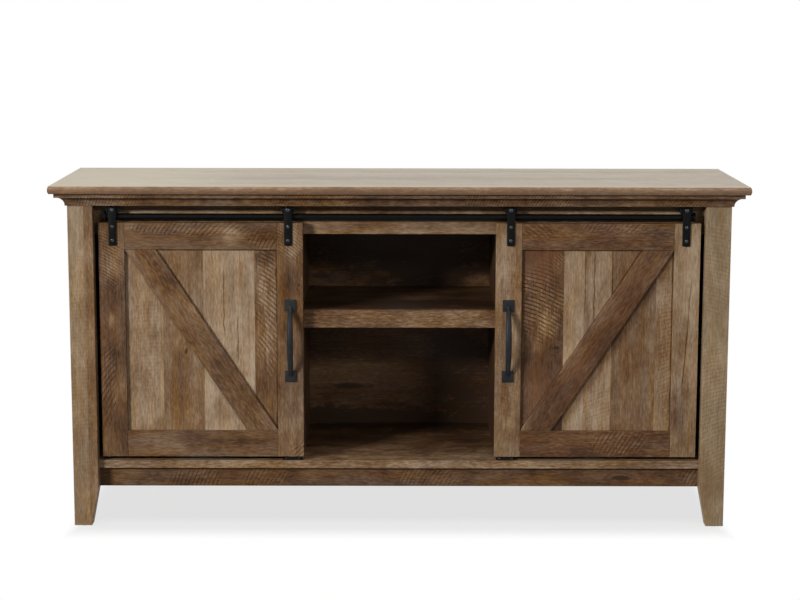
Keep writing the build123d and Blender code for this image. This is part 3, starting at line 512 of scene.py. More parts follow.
def coat_oak(node, grain, tone, seed, face=FRONT_FACE, joins=(), patches=(), saws=(), cracks_and_shade_lines=(),
             knots=(), tints=(), edge=None, gloss=OAK_GLOSS, fine=1.0, cloudy=1.0, shade_inner_y=None):
    """Gives a board its own print and marks; the tone goes from 0 for pale to 1 for dark.

    The fibres and clouds can be stronger or weaker, and the patches, where they are painted shade, kept to
    the side in front of a depth.
    """
    material, shader, place = new_material(f"{node}_oak")
    board = Board(place, grain, face, seed, joins)
    fibres = board.noise(FIBRES._replace(strength=fine * FIBRES.strength))
    streaks = board.noise(STREAKS)
    clouds = board.noise(CLOUDS._replace(strength=cloudy * CLOUDS.strength))
    waver = board.noise(WAVER)
    dark = tone + board.noise(BANDS) + streaks + fibres + clouds
    relief = fibres + streaks
    for join in joins:
        dark = dark + (board.u > join.u) * join.change
    if edge:
        below = edge.height - place.dot(UPRIGHT) > 0
        dark = dark + below * edge.change
    for patch in patches:
        stain_or_shade = board.apart(patch, waver).fade(*PATCH_FEATHER) * patch.change
        if shade_inner_y is not None:
            stain_or_shade = stain_or_shade * (shade_inner_y - place.dot(DEEP) > 0)
        dark = dark + stain_or_shade
    for saw in saws:
        strokes = saw_strokes(board, saw, waver)
        dark = dark + strokes * saw.change
        relief = relief - strokes
    for crack_or_shade in cracks_and_shade_lines:
        line = crack_or_shade_line(board, crack_or_shade, waver)
        dark = dark + line * crack_or_shade.change
        relief = relief - line * crack_or_shade.change
    for knot in knots:
        dark = dark + knot_rings(board, knot, waver)
    colour = place.node("ShaderNodeValToRGB", {"stops": OAK_STOPS}, {0: dark})
    warmth = {"Saturation": 1 + board.noise(WARMTH), "Color": colour}
    colour = place.node("ShaderNodeHueSaturation", {}, warmth)
    if edge:
        colour = (below * edge.warmth).mix(colour, GOLD_OAK)
    for tint in tints:
        share = board.apart(tint, waver).fade(*TINT_FEATHER) * tint.share
        if edge:
            share = share * (1 - below)
        colour = share.mix(colour, tint.colour)
    plug(colour, shader, "Base Color")
    plug(gloss.roughness + (streaks + clouds) * OAK_ROUGHNESS_CHANGE, shader, "Roughness")
    shader.inputs["Specular IOR Level"].default_value = gloss.specular
    raised = {"Height": relief, "Strength": OAK_RELIEF, "Distance": OAK_RELIEF_HEIGHT}
    plug(place.node("ShaderNodeBump", {}, raised), shader, "Normal")
    coat(node, material)


print("oak finish ready")

# %% [markdown]
# Now every board gets its own print, with tones and marks that follow the picture. The top is pale and a
# little grey, with long streaks, and its left end is paler still, a painted sheen. Its bowed edge is
# browner and carries short saw strokes, with painted highlight along its upper half and painted shade along
# its lower half. The crown under it is dark. The edge belongs to the same solid as the top, so a height
# tells the two apart.

# %% The top and the crown
SIDES = ("left", "right")
EDGE_MARGIN = 0.0005
TOP_ARRIS_Z = cad_box[1][2] - EDGE_MARGIN
NOSE_V = 0.535
top_marks = {
    "edge": Edge(TOP_ARRIS_Z, 0.43, 0.55),
    "patches": [
        # painted sheen: the left end of the top is made paler
        Patch(-0.66, 0.76, 0.24, 0.4, -0.24),
        Patch(0.0, 0.566, 1.4, 0.035, -0.4),
        Patch(0.05, 0.735, 0.9, 0.045, 0.34),
        Patch(-0.15, 0.845, 0.9, 0.04, -0.36),
        Patch(0.45, 0.9, 0.5, 0.03, 0.14),
        Patch(0.0, 0.96, 1.4, 0.045, -0.28),
        Patch(0.5, 0.76, 0.35, 0.3, -0.1),
        # painted shade and highlight: a darker band over the lower half of the bowed edge, a lighter one
        # over its upper half
        Patch(0.0, NOSE_V - 0.011, 2.0, 0.009, 0.3),
        Patch(0.0, NOSE_V + 0.006, 2.0, 0.005, -0.2),
        Patch(-0.55, NOSE_V, 0.09, 0.03, 0.14),
        Patch(-0.32, NOSE_V, 0.08, 0.03, -0.1),
        Patch(-0.1, NOSE_V, 0.09, 0.03, 0.2),
        Patch(0.05, NOSE_V, 0.1, 0.03, 0.12),
        Patch(0.27, NOSE_V, 0.07, 0.03, 0.2),
        Patch(0.42, NOSE_V, 0.1, 0.03, 0.14),
        Patch(0.62, NOSE_V, 0.08, 0.03, -0.1),
    ],
    "saws": [
        Saw(-0.42, NOSE_V, 0.12, 0.03, 55, 0.5, NOSE_PITCH),
        Saw(-0.12, NOSE_V, 0.1, 0.03, 60, 0.5, NOSE_PITCH),
        Saw(0.08, NOSE_V, 0.13, 0.03, 62, 0.7, NOSE_PITCH),
        Saw(0.27, NOSE_V, 0.06, 0.03, 60, 0.7, NOSE_PITCH),
        Saw(0.44, NOSE_V, 0.12, 0.03, 58, 0.7, NOSE_PITCH),
    ],
    "tints": [
        Tint(0.0, 0.76, 1.2, 1.2, 0.55, GREY_OAK),
        # painted sheen: a pale tint over the top's left end
        Tint(-0.62, 0.76, 0.3, 0.6, 0.5, PAINTED_SHEEN_OAK),
    ],
    "gloss": TOP_GLOSS,
    "fine": 2.4,
    "cloudy": 0.5,
}
crown_marks = {
    "saws": [
        Saw(-0.62, 0.73, 0.11, 0.03, 62, 0.36, FINE_PITCH),
        Saw(-0.2, 0.73, 0.14, 0.03, 58, 0.26, FINE_PITCH),
        Saw(0.28, 0.73, 0.22, 0.03, 62, 0.32, FINE_PITCH),
        Saw(0.62, 0.73, 0.1, 0.03, 55, 0.28, FINE_PITCH),
    ],
    "patches": [Patch(-0.45, 0.73, 0.12, 0.03, -0.08), Patch(0.45, 0.73, 0.1, 0.03, 0.06)],
    "fine": 1.4,
}
coat_oak("top_panel", LEVEL, 0.23, 1.0, TOP_FACE, **top_marks)
coat_oak("crown_front", LEVEL, 0.68, 2.0, **crown_marks)
for side in SIDES:
    coat_oak(f"crown_{side}", DEEP, 0.68, 3.0, END_FACE)
print("top and crown coated, arris at", round(TOP_ARRIS_Z, 4))

# %% [markdown]
# The legs are pale, and the left one is printed as two strips, of which the inner one is darker. The ends
# are printed as four planks, so they have joins as well as saw strokes, cracks and a knot. What stands
# behind the doors gets plainer prints, and the right partition is darker than the left: painted shade on
# its inner face in the bay.

# %% Legs, ends and partitions
LEG_JOIN_X = -0.6865
left_leg_marks = {
    "joins": [Join(LEG_JOIN_X, 0.14)],
    "patches": [Patch(-0.7, 0.6, 0.03, 0.1, -0.08), Patch(-0.7, 0.18, 0.04, 0.16, 0.06)],
    "saws": [Saw(-0.7, 0.35, 0.03, 0.34, 5, 0.08)],
    "tints": [Tint(-0.715, 0.38, 0.035, 0.8, 0.2, GREY_OAK)],
}
right_leg_marks = {
    "patches": [Patch(0.7, 0.62, 0.03, 0.09, 0.05), Patch(0.69, 0.12, 0.04, 0.12, 0.14)],
    "saws": [Saw(0.694, 0.26, 0.05, 0.2, 20, 0.18), Saw(0.694, 0.58, 0.05, 0.14, -15, 0.14)],
    "tints": [Tint(0.694, 0.38, 0.15, 1.2, 0.28, GREY_OAK)],
}
end_marks = {
    "joins": [Join(-0.065, 0.16), Join(0.048, -0.24), Join(0.142, 0.14)],
    "saws": [
        Saw(-0.11, 0.48, 0.06, 0.14, 12, 0.2),
        Saw(-0.01, 0.3, 0.06, 0.11, -24, 0.34, FINE_PITCH),
        Saw(0.1, 0.56, 0.06, 0.09, 28, 0.24),
    ],
    "cracks_and_shade_lines": [CrackOrShadeLine(0.09, 0.33, 0.12, 0.0), CrackOrShadeLine(-0.12, 0.23, 0.08, 0.0)],
    "knots": [Knot(0.01, 0.52, 0.01, 0.018)],
    "fine": 1.4,
    "cloudy": 0.6,
}
coat_oak("front_leg_left", UPRIGHT, 0.37, 4.0, **left_leg_marks)
coat_oak("front_leg_right", UPRIGHT, 0.36, 5.0, **right_leg_marks)
# painted shade: the right partition is darker than the left, for the shade on its inner face in the bay
for side, seed, partition_tone_and_shade in (("left", 6.0, 0.80), ("right", 7.0, 1.05)):
    coat_oak(f"partition_{side}", UPRIGHT, partition_tone_and_shade, seed + 4, END_FACE)
    coat_oak(f"rear_leg_{side}", UPRIGHT, 0.40, seed)
    coat_oak(f"end_panel_{side}", UPRIGHT, 0.42, seed + 2, END_FACE, **end_marks)
    coat_oak(f"side_shelf_{side}", LEVEL, 0.45, seed + 6, TOP_FACE)
print("legs, ends and partitions coated")

# %% [markdown]
# The kick board is dark and sawn. The boards of the open bay lie deep in the stand, where bounced light is
# hard to match with lamps alone, so broad patches of painted shade darken the floor, the shelf and the back
# where the picture is darkest, and a few small patches of painted light brighten them where it is lighter.
# The back's painted shade stops at the middle of its thickness, because its outer side has none.

# %% The bay, the kick board and the back
kick_marks = {
    "patches": [Patch(-0.42, 0.104, 0.26, 0.06, 0.07)],
    "saws": [
        Saw(-0.455, 0.104, 0.075, 0.035, 68, 0.3),
        Saw(-0.3, 0.104, 0.06, 0.035, 62, 0.26),
        Saw(0.07, 0.104, 0.09, 0.035, 58, 0.22),
        Saw(0.655, 0.108, 0.035, 0.03, 60, 0.34),
    ],
    "knots": [Knot(0.494, 0.104, 0.03, 0.008)],
}
# painted shade and light: patches on the bay's floor that stand in for its shading
bay_floor_painted_shade = {
    "patches": [
        Patch(0.0, 0.203, 0.6, 0.24, 0.41),
        Patch(0.05, 0.34, 0.4, 0.075, 0.55),
        Patch(-0.06, 0.11, 0.09, 0.06, -0.16),
        Patch(0.02, 0.19, 0.08, 0.06, -0.22),
    ],
}
# painted shade and light on the back of the bay
back_painted_shade = {
    "patches": [
        Patch(0.2, 0.22, 0.1, 0.2, 0.3),
        Patch(0.0, 0.6, 0.4, 0.13, 0.4),
        Patch(0.08, 0.51, 0.13, 0.12, 0.3),
        Patch(0.12, 0.3, 0.07, 0.2, 0.3),
        Patch(-0.05, 0.148, 0.4, 0.055, 0.45),
        Patch(-0.12, 0.275, 0.13, 0.05, -0.12),
        Patch(-0.11, 0.238, 0.06, 0.01, 0.3),
    ],
}
track_marks = {"patches": [Patch(0.0, 0.685, 0.4, 0.04, 0.2)]}
# painted shade and light on the shelf
shelf_painted_shade = {
    "patches": [Patch(0.0, 0.421, 0.6, 0.065, 0.35), Patch(0.1, 0.4, 0.08, 0.02, -0.15)],
}
shelf_front_marks = {"patches": [Patch(-0.12, 0.461, 0.12, 0.04, 0.07)]}
back_low, back_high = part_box("back_panel")
back_middle = (back_low.y + back_high.y) / 2
coat_oak("bottom_panel", LEVEL, 0.41, 14.0, TOP_FACE, fine=1.6, **bay_floor_painted_shade)
coat_oak("kick_board", LEVEL, 0.74, 15.0, **kick_marks)
coat_oak("track_board", LEVEL, 0.42, 16.0, **track_marks)
coat_oak("centre_shelf", LEVEL, 0.88, 17.0, TOP_FACE, **shelf_painted_shade)
coat_oak("centre_shelf_front", LEVEL, 0.61, 18.0, fine=1.6, **shelf_front_marks)
coat_oak("rear_rail", LEVEL, 0.50, 19.0)
coat_oak("back_panel", LEVEL, 0.70, 20.0, cloudy=0.7, shade_inner_y=back_middle, **back_painted_shade)
print("bay coated, back split at depth", round(back_middle, 4))

# %% [markdown]
# A door is a frame of two stiles and two rails round a panel of printed planks, with a brace across it. The
# left door's brace falls to the right. Its planks are pale, tan, pale and dark, and a dark line of painted
# shade at the panel's right edge stands for the shadow in the gap beside the stile. One function coats a
# door from a table of its boards.

# %% The left door's boards
BRACE_RUN = 0.50
BRACE_CLIMB = 0.75
BRACE_FALL = Vector((-BRACE_RUN, 0, BRACE_CLIMB)).normalized()
GAP_SHADE_WIDTH = 0.003
left_outer_stile_marks = {
    "patches": [
        Patch(-0.63, 0.61, 0.04, 0.08, -0.07),
        Patch(-0.63, 0.525, 0.045, 0.05, 0.16),
        Patch(-0.632, 0.458, 0.016, 0.022, -0.2),
        Patch(-0.612, 0.39, 0.03, 0.05, 0.1),
    ],
    "saws": [
        Saw(-0.63, 0.605, 0.038, 0.08, -28, 0.36, FINE_PITCH),
        Saw(-0.64, 0.32, 0.02, 0.12, 55, 0.36),
    ],
}
left_inner_stile_marks = {
    "patches": [
        Patch(-0.235, 0.545, 0.04, 0.05, 0.1),
        Patch(-0.238, 0.23, 0.05, 0.11, -0.12),
        Patch(-0.225, 0.64, 0.02, 0.04, -0.12),
    ],
    "saws": [
        Saw(-0.238, 0.645, 0.036, 0.065, -35, 0.36, FINE_PITCH),
        Saw(-0.22, 0.172, 0.022, 0.022, 45, 0.4),
    ],
    "knots": [Knot(-0.22, 0.542, 0.006, 0.01)],
}
left_top_rail_marks = {
    "patches": [
        Patch(-0.363, 0.645, 0.03, 0.022, -0.22),
        Patch(-0.544, 0.65, 0.06, 0.03, 0.1),
        Patch(-0.29, 0.65, 0.03, 0.035, 0.14),
    ],
    "saws": [Saw(-0.45, 0.668, 0.17, 0.02, 50, 0.36), Saw(-0.3, 0.64, 0.04, 0.03, 60, 0.3)],
}
left_bottom_rail_marks = {
    "patches": [Patch(-0.51, 0.178, 0.07, 0.025, -0.12), Patch(-0.35, 0.192, 0.08, 0.01, 0.14)],
}
left_brace_marks = {
    "patches": [
        Patch(-0.51, 0.565, 0.05, 0.06, 0.16),
        Patch(-0.385, 0.345, 0.05, 0.06, 0.16),
        Patch(-0.335, 0.285, 0.05, 0.06, 0.12),
        Patch(-0.46, 0.455, 0.03, 0.04, -0.1),
    ],
    "knots": [Knot(-0.535, 0.59, 0.014, 0.018)],
    "fine": 1.3,
}
left_plank_marks = {
    "joins": [Join(-0.52, 0.18), Join(-0.43, -0.28), Join(-0.318, 0.38)],
    "patches": [
        Patch(-0.475, 0.37, 0.03, 0.06, 0.12),
        Patch(-0.295, 0.6, 0.03, 0.022, 0.22),
        Patch(-0.303, 0.52, 0.014, 0.05, -0.22),
        Patch(-0.29, 0.33, 0.026, 0.05, 0.12),
        Patch(-0.575, 0.33, 0.03, 0.06, 0.1),
    ],
    "saws": [Saw(-0.29, 0.49, 0.03, 0.17, -42, 0.5), Saw(-0.552, 0.4, 0.04, 0.16, 4, 0.07)],
    "cracks_and_shade_lines": [
        CrackOrShadeLine(-0.385, 0.5, 0.085, 0.0),
        CrackOrShadeLine(-0.355, 0.42, 0.06, 0.0),
        # painted shade: a dark line in the gap between the panel's right edge and the stile
        CrackOrShadeLine(-0.269, 0.417, 0.35, 0.0, GAP_SHADE_WIDTH),
    ],
    "knots": [Knot(-0.47, 0.39, 0.008, 0.014)],
}


def coat_door(side, boards):
    """Coats a door's boards: each has its grain, its tone, its seed and its marks."""
    for part, (grain, tone, seed, marks) in boards.items():
        coat_oak(f"{side}_door_{part}", grain, tone, seed, **marks)
    print(len(boards), "boards of the", side, "door coated")


coat_door("left", {
    "outer_stile": (UPRIGHT, 0.70, 21.0, left_outer_stile_marks),
    "inner_stile": (UPRIGHT, 0.62, 22.0, left_inner_stile_marks),
    "top_rail": (LEVEL, 0.64, 23.0, left_top_rail_marks),
    "bottom_rail": (LEVEL, 0.69, 24.0, left_bottom_rail_marks),
    "brace": (BRACE_FALL, 0.62, 25.0, left_brace_marks),
    "panel": (UPRIGHT, 0.31, 26.0, left_plank_marks),
})

# %% [markdown]
# The right door's brace rises to the right. Its first plank is dark and reddish, with strong saw strokes,
# and the next ones are paler. Two lines of painted shade follow the brace: a thin one for the shadow in the
# gap on its left, and a broad soft one that deepens its shadow on the right. A thin one at the panel's
# right edge is painted shade in the gap beside the stile.

# %% The right door's boards
BRACE_RISE = Vector((BRACE_RUN, 0, BRACE_CLIMB)).normalized()
BRACE_LEAN = 0.647
SHADE_WIDTH = 0.026
right_outer_stile_marks = {
    "patches": [
        Patch(0.633, 0.319, 0.012, 0.055, 0.18),
        Patch(0.63, 0.45, 0.01, 0.035, 0.12),
        Patch(0.632, 0.58, 0.05, 0.1, -0.12),
        Patch(0.632, 0.23, 0.06, 0.13, 0.2),
    ],
    "cracks_and_shade_lines": [CrackOrShadeLine(0.632, 0.43, 0.15, 0.064)],
}
right_inner_stile_marks = {
    "patches": [Patch(0.234, 0.296, 0.022, 0.07, 0.12), Patch(0.235, 0.59, 0.035, 0.08, -0.12)],
    "saws": [Saw(0.239, 0.4, 0.036, 0.25, -12, 0.07)],
}
right_top_rail_marks = {
    "patches": [Patch(0.44, 0.64, 0.04, 0.025, 0.14), Patch(0.34, 0.632, 0.06, 0.015, -0.1)],
    "saws": [Saw(0.3, 0.664, 0.06, 0.02, -40, 0.32), Saw(0.47, 0.67, 0.13, 0.014, 50, 0.34)],
    "tints": [Tint(0.4, 0.645, 0.2, 0.06, 0.2, RED_OAK)],
    "fine": 1.5,
}
right_bottom_rail_marks = {
    "patches": [Patch(0.4, 0.175, 0.05, 0.03, 0.12)],
    "saws": [Saw(0.486, 0.188, 0.07, 0.034, 58, 0.5)],
    "knots": [Knot(0.391, 0.168, 0.02, 0.008)],
    "tints": [Tint(0.38, 0.186, 0.25, 0.06, 0.25, RED_OAK)],
    "fine": 1.5,
}
right_brace_marks = {
    "patches": [
        Patch(0.5, 0.52, 0.05, 0.05, 0.12),
        Patch(0.44, 0.415, 0.06, 0.07, 0.15),
        Patch(0.34, 0.27, 0.08, 0.09, 0.22),
    ],
    "tints": [Tint(0.43, 0.42, 0.3, 0.3, 0.25, RED_OAK)],
    "fine": 1.3,
}
right_plank_marks = {
    "joins": [Join(0.361, -0.53), Join(0.407, 0.12), Join(0.467, 0.22), Join(0.564, -0.17)],
    "patches": [
        Patch(0.3, 0.36, 0.05, 0.04, 0.12),
        Patch(0.345, 0.585, 0.016, 0.04, -0.12),
        Patch(0.33, 0.455, 0.03, 0.04, -0.16),
        Patch(0.43, 0.4, 0.03, 0.08, 0.06),
    ],
    "saws": [
        Saw(0.315, 0.505, 0.056, 0.105, -22, 0.66),
        Saw(0.35, 0.59, 0.016, 0.05, -40, 0.44, FINE_PITCH),
        Saw(0.59, 0.42, 0.024, 0.23, 16, 0.13),
        Saw(0.44, 0.27, 0.05, 0.06, 20, 0.1),
    ],
    "cracks_and_shade_lines": [
        CrackOrShadeLine(0.408, 0.56, 0.09, 0.0),
        CrackOrShadeLine(0.428, 0.52, 0.11, 0.0),
        CrackOrShadeLine(0.467, 0.56, 0.07, 0.0),
        # painted shade: a line in the gap at the panel's right edge, a thin one in the gap beside the
        # brace, and a broad painted shadow on its right
        CrackOrShadeLine(0.5995, 0.417, 0.35, 0.0, GAP_SHADE_WIDTH),
        CrackOrShadeLine(0.4, 0.417, 0.33, BRACE_LEAN),
        CrackOrShadeLine(0.47, 0.406, 0.29, BRACE_LEAN, SHADE_WIDTH, 0.26),
    ],
    "knots": [Knot(0.346, 0.401, 0.014, 0.009)],
    "tints": [
        Tint(0.312, 0.6, 0.045, 0.06, 0.55, RED_OAK),
        Tint(0.312, 0.29, 0.05, 0.11, 0.4, RED_OAK),
    ],
}

coat_door("right", {
    "outer_stile": (UPRIGHT, 0.32, 27.0, right_outer_stile_marks),
    "inner_stile": (UPRIGHT, 0.45, 28.0, right_inner_stile_marks),
    "top_rail": (LEVEL, 0.71, 29.0, right_top_rail_marks),
    "bottom_rail": (LEVEL, 0.80, 30.0, right_bottom_rail_marks),
    "brace": (BRACE_RISE, 0.66, 31.0, right_brace_marks),
    "panel": (UPRIGHT, 0.76, 32.0, right_plank_marks),
})

# %% [markdown]
# The running gear is black: powder-coated steel for the rail, straps and handles, black nylon for the
# wheels. A powder coat is not smooth. It has a fine orange-peel skin, so a small noise feeds its roughness
# and a bump, and its colour changes a little where it is rubbed.

# %% Metals and plastics
Skin = namedtuple("Skin", "dark pale rough_low rough_high grain relief metallic specular")
SKINS = {
    "black_steel": Skin(paint(6, 7, 7), paint(14, 14, 14), 0.44, 0.60, 900, 0.12, 0.0, 0.07),
    "forged_iron": Skin(paint(22, 23, 25), paint(40, 40, 42), 0.40, 0.56, 420, 0.25, 0.0, 0.16),
    "screw_black": Skin(paint(10, 11, 12), paint(20, 21, 22), 0.20, 0.28, 700, 0.06, 0.0, 0.60),
    "black_nylon": Skin(paint(13, 13, 14), paint(24, 24, 25), 0.50, 0.66, 700, 0.08, 0.0, 0.12),
    "zinc": Skin(paint(150, 152, 156), paint(190, 191, 194), 0.30, 0.45, 500, 0.05, 1.0, 0.50),
    # painted shade: a darker, rougher copy of the zinc for the guide screws, which lie in shade under the
    # doors
    "dull_zinc": Skin(paint(70, 72, 74), paint(96, 97, 99), 0.50, 0.62, 500, 0.05, 1.0, 0.50),
    "beech": Skin(paint(196, 158, 116), paint(222, 190, 148), 0.55, 0.70, 250, 0.10, 0.0, 0.30),
    "glide_plastic": Skin(paint(62, 50, 40), paint(84, 70, 56), 0.45, 0.60, 600, 0.05, 0.0, 0.40),
}
PEEL_DETAIL = 2.0
PEEL_HEIGHT = 0.0005
WEAR_DETAIL = 4.0
WEAR_SCALE_SHARE = 0.1
WEAR_FADE = (0.35, 0.75)


def skin(name, look):
    """A plain material whose colour, gloss and surface change a little from place to place."""
    material, shader, place = new_material(name)
    worn = {"Vector": place, "Scale": WEAR_SCALE_SHARE * look.grain, "Detail": WEAR_DETAIL}
    wear = place.node("ShaderNodeTexNoise", {}, worn)
    peeled = {"Vector": place, "Scale": look.grain, "Detail": PEEL_DETAIL}
    peel = place.node("ShaderNodeTexNoise", {}, peeled)
    plug(wear.fade(*WEAR_FADE).mix(look.dark, look.pale), shader, "Base Color")
    plug(look.rough_low + (look.rough_high - look.rough_low) * peel, shader, "Roughness")
    shader.inputs["Metallic"].default_value = look.metallic
    shader.inputs["Specular IOR Level"].default_value = look.specular
    raised = {"Height": peel, "Strength": look.relief, "Distance": PEEL_HEIGHT}
    plug(place.node("ShaderNodeBump", {}, raised), shader, "Normal")
    return material


skins = {name: skin(name, look) for name, look in SKINS.items()}
PLACES = ("outer", "inner")
CARCASS_SKINS = {
    "black_steel": ["door_rail", "rail_end_caps", "rail_spacers", "rail_screws"],
    "black_nylon": ["door_guides"],
    "zinc": ["cam_locks", "cam_bolts", "shelf_pins"],
    # painted shade: the guide screws get the darker copy of the zinc
    "dull_zinc": ["guide_screws"],
    "beech": ["dowels"],
    "glide_plastic": ["leg_glides"],
}
DOOR_SKINS = {
    "black_steel": ["hangers"],
    "forged_iron": ["handle"],
    "screw_black": ["hanger_screws", "axle_bolts", "handle_screws"],
}
for name, nodes in CARCASS_SKINS.items():
    for node in nodes:
        coat(node, skins[name])
for side in SIDES:
    for name, parts in DOOR_SKINS.items():
        for part in parts:
            coat(f"{side}_door_{part}", skins[name])
    for place_name in PLACES:
        coat(f"{side}_{place_name}_wheel", skins["black_nylon"])
print(len(skins), "plain skins")

# %% [markdown]
# The solids of the running gear have flat facets, which is enough for collisions but not for a close look.
# Each is now made again, rounder, in the same place. Most of them are turned on a lathe in real life, so a
# profile of a few points is spun round an axis. Edges that meet at a steep angle stay sharp and the rest
# are shaded smooth.

# %% Turned shapes and finished pieces
ROUND_STEPS = 48
WELD = 0.00001
SHARP_ANGLE = radians(25)


def spin_round(shape, geom, middle, way):
    """Spins points and edges once round an axis and closes the seam."""
    bmesh.ops.spin(shape, geom=geom, cent=middle, axis=way, angle=2 * pi, steps=ROUND_STEPS, use_merge=True)


def turn(shape, profile, middle, way):
    """A turned form from points of reach along the axis and radius. Returns its vertices."""
    before = set(shape.verts)
    side = way.orthogonal().normalized()
    line = [shape.verts.new(middle + way * reach + side * radius) for reach, radius in profile]
    edges = [shape.edges.new(pair) for pair in zip(line, line[1:])]
    spin_round(shape, line + edges, middle, way)
    return [vert for vert in shape.verts if vert not in before]


def add_piece(name, shape, skin_name, body, nodes):
    """Welds a shape, keeps its steep edges sharp, and hangs it on a body in place of its solids."""
    bmesh.ops.remove_doubles(shape, verts=shape.verts, dist=WELD)
    bmesh.ops.recalc_face_normals(shape, faces=shape.faces)
    for face in shape.faces:
        face.smooth = True
    for edge in shape.edges:
        edge.smooth = edge.calc_face_angle(0) < SHARP_ANGLE
    mesh = bpy.data.meshes.new(name)
    shape.to_mesh(mesh)
    shape.free()
    mesh.materials.append(skins[skin_name])
    piece = bpy.data.objects.new(name, mesh)
    scene.collection.objects.link(piece)
    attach(piece, body)
    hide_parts(*nodes)
    print(name, len(mesh.polygons), "faces")


AXLES = {}
for side in SIDES:
    for place_name in PLACES:
        low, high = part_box(f"{side}_{place_name}_wheel")
        AXLES[side, place_name] = (low + high) / 2
print(len(AXLES), "axles at height", round(AXLES["left", "outer"].z, 4))

# %% [markdown]
# A wheel is moulded nylon: two flanges, a groove that fits the rail, and a web that is thinner than the hub
# and the rim to save material. Its groove is drawn first, as a point that is spun about the rail's axis,
# and joined to the rest of the profile. The whole line is then spun about the axle.

# %% Wheels
RAIL_GROOVE_RADIUS = 0.0068
GROOVE_STEPS = 12
BORE_RADIUS = 0.0031
HUB_RADIUS = 0.0062
RIM_RADIUS = 0.0122
WEB_DEPTH = 0.0016
WHEEL_ARRIS = 0.0006

rail_low, rail_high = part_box("door_rail")
RAIL_Z = (rail_low.z + rail_high.z) / 2
for (side, place_name), axle in AXLES.items():
    name = f"{side}_{place_name}_wheel"
    low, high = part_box(name)
    flange = (high.z - low.z) / 2
    half = (high.y - low.y) / 2
    groove_middle = Vector((axle.x, axle.y, RAIL_Z))
    drop = axle.z - RAIL_Z - flange
    mouth = (RAIL_GROOVE_RADIUS**2 - drop**2) ** 0.5
    shape = bmesh.new()
    first = shape.verts.new(groove_middle + Vector((0, -mouth, drop)))
    sweep = Vector((-mouth, drop)).angle(Vector((mouth, drop)))
    bmesh.ops.spin(shape, geom=[first], cent=groove_middle, axis=LEVEL, angle=-sweep, steps=GROOVE_STEPS)
    face_line = [(half - WHEEL_ARRIS, flange), (half, flange - WHEEL_ARRIS), (half, RIM_RADIUS),
                 (half - WEB_DEPTH, RIM_RADIUS - WEB_DEPTH), (half - WEB_DEPTH, HUB_RADIUS + WEB_DEPTH),
                 (half, HUB_RADIUS), (half, BORE_RADIUS)]
    around = face_line + [(-y, radius) for y, radius in reversed(face_line)]
    ends = [vert for vert in shape.verts if len(vert.link_edges) == 1]
    ends.sort(key=lambda vert: -vert.co.y)
    sides = [shape.verts.new((axle.x, axle.y + y, axle.z - radius)) for y, radius in around]
    chain = [ends[0], *sides, ends[1]]
    for pair in zip(chain, chain[1:]):
        shape.edges.new(pair)
    spin_round(shape, shape.verts[:] + shape.edges[:], axle, DEEP)
    add_piece(f"{name}_turned", shape, "black_nylon", name, [name])

# %% [markdown]
# The straps are cut from flat bar, rounded over the axle and eased at the lower corners. An arc is spun for
# the head, two corners close the outline, and the face is pulled out to the thickness of the bar. One small
# function holds the bevel that eases edges from here on.

# %% Straps
HEAD_ARC_STEPS = 24
STRAP_CORNER = 0.0028
STRAP_CORNER_STEPS = 5
STRAP_ARRIS = 0.0005
ARRIS_STEPS = 2


def ease(shape, geom, offset, steps=ARRIS_STEPS, affect="EDGES"):
    """Rounds edges, or the corners of a face, with a bevel."""
    bmesh.ops.bevel(shape, geom=geom, offset=offset, segments=steps, profile=0.5, affect=affect,
                    material=-1)


def new_verts(made):
    """The vertices among what an extrusion made."""
    return [part for part in made["geom"] if isinstance(part, bmesh.types.BMVert)]


def add_strap(shape, axle, low_z, front_y, back_y, width):
    """One strap, from its round head over the axle down to its lower end."""
    before = set(shape.verts)
    head = Vector((axle.x, front_y, axle.z))
    first = shape.verts.new(head + Vector((width / 2, 0, 0)))
    bmesh.ops.spin(shape, geom=[first], cent=head, axis=DEEP, angle=-pi, steps=HEAD_ARC_STEPS)
    arc = [vert for vert in shape.verts if vert not in before]
    arc.sort(key=lambda vert: vert.co.x)
    corners = [shape.verts.new((axle.x + shift, front_y, low_z)) for shift in (width / 2, -width / 2)]
    shape.faces.new(arc + corners)
    ease(shape, corners, STRAP_CORNER, STRAP_CORNER_STEPS, "VERTICES")
    front = next(face for face in shape.faces if arc[0] in face.verts)
    made = bmesh.ops.extrude_face_region(shape, geom=[front], use_keep_orig=True)
    bmesh.ops.translate(shape, verts=new_verts(made), vec=(0, back_y - front_y, 0))
    ease(shape, list(front.edges), STRAP_ARRIS)


for side in SIDES:
    strap_low, strap_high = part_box(f"{side}_door_hangers")
    width = 2 * (strap_high.z - AXLES[side, "outer"].z)
    straps = bmesh.new()
    for place_name in PLACES:
        add_strap(straps, AXLES[side, place_name], strap_low.z, strap_low.y, strap_high.y, width)
    door = f"{side}_door"
    add_piece(f"{door}_straps", straps, "black_steel", door, [f"{door}_hangers"])

# %% [markdown]
# The axle bolts and the screws are button heads with a six-sided socket: a domed ring is turned, and
# bridged to a hexagon that is sunk into it. An axle bolt also has a collar between strap and wheel, and a
# nut behind the wheel.

# %% Bolts and screws
DOME_STEPS = 6
HEX_SIDES = 6
SOCKET_SHARE = 0.42
SOCKET_FLOOR_SHARE = 0.9
SOCKET_DEPTH_SHARE = 0.6
BOLT_RADIUS = 0.003
COLLAR_RADIUS = 0.005
NUT_RADIUS = 0.0052
NUT_THICK = 0.0036
NUT_ARRIS = 0.0004


def edges_of(verts):
    """The edges that meet the vertices, each once."""
    return list(dict.fromkeys(edge for vert in verts for edge in vert.link_edges))


def dome(rise, inner, outer):
    """A quarter round, from the outer radius on its seat up to the inner radius."""
    turns = [RIGHT_ANGLE * step / DOME_STEPS for step in range(DOME_STEPS + 1)]
    return [(rise * sin(turned), inner + (outer - inner) * cos(turned)) for turned in turns]


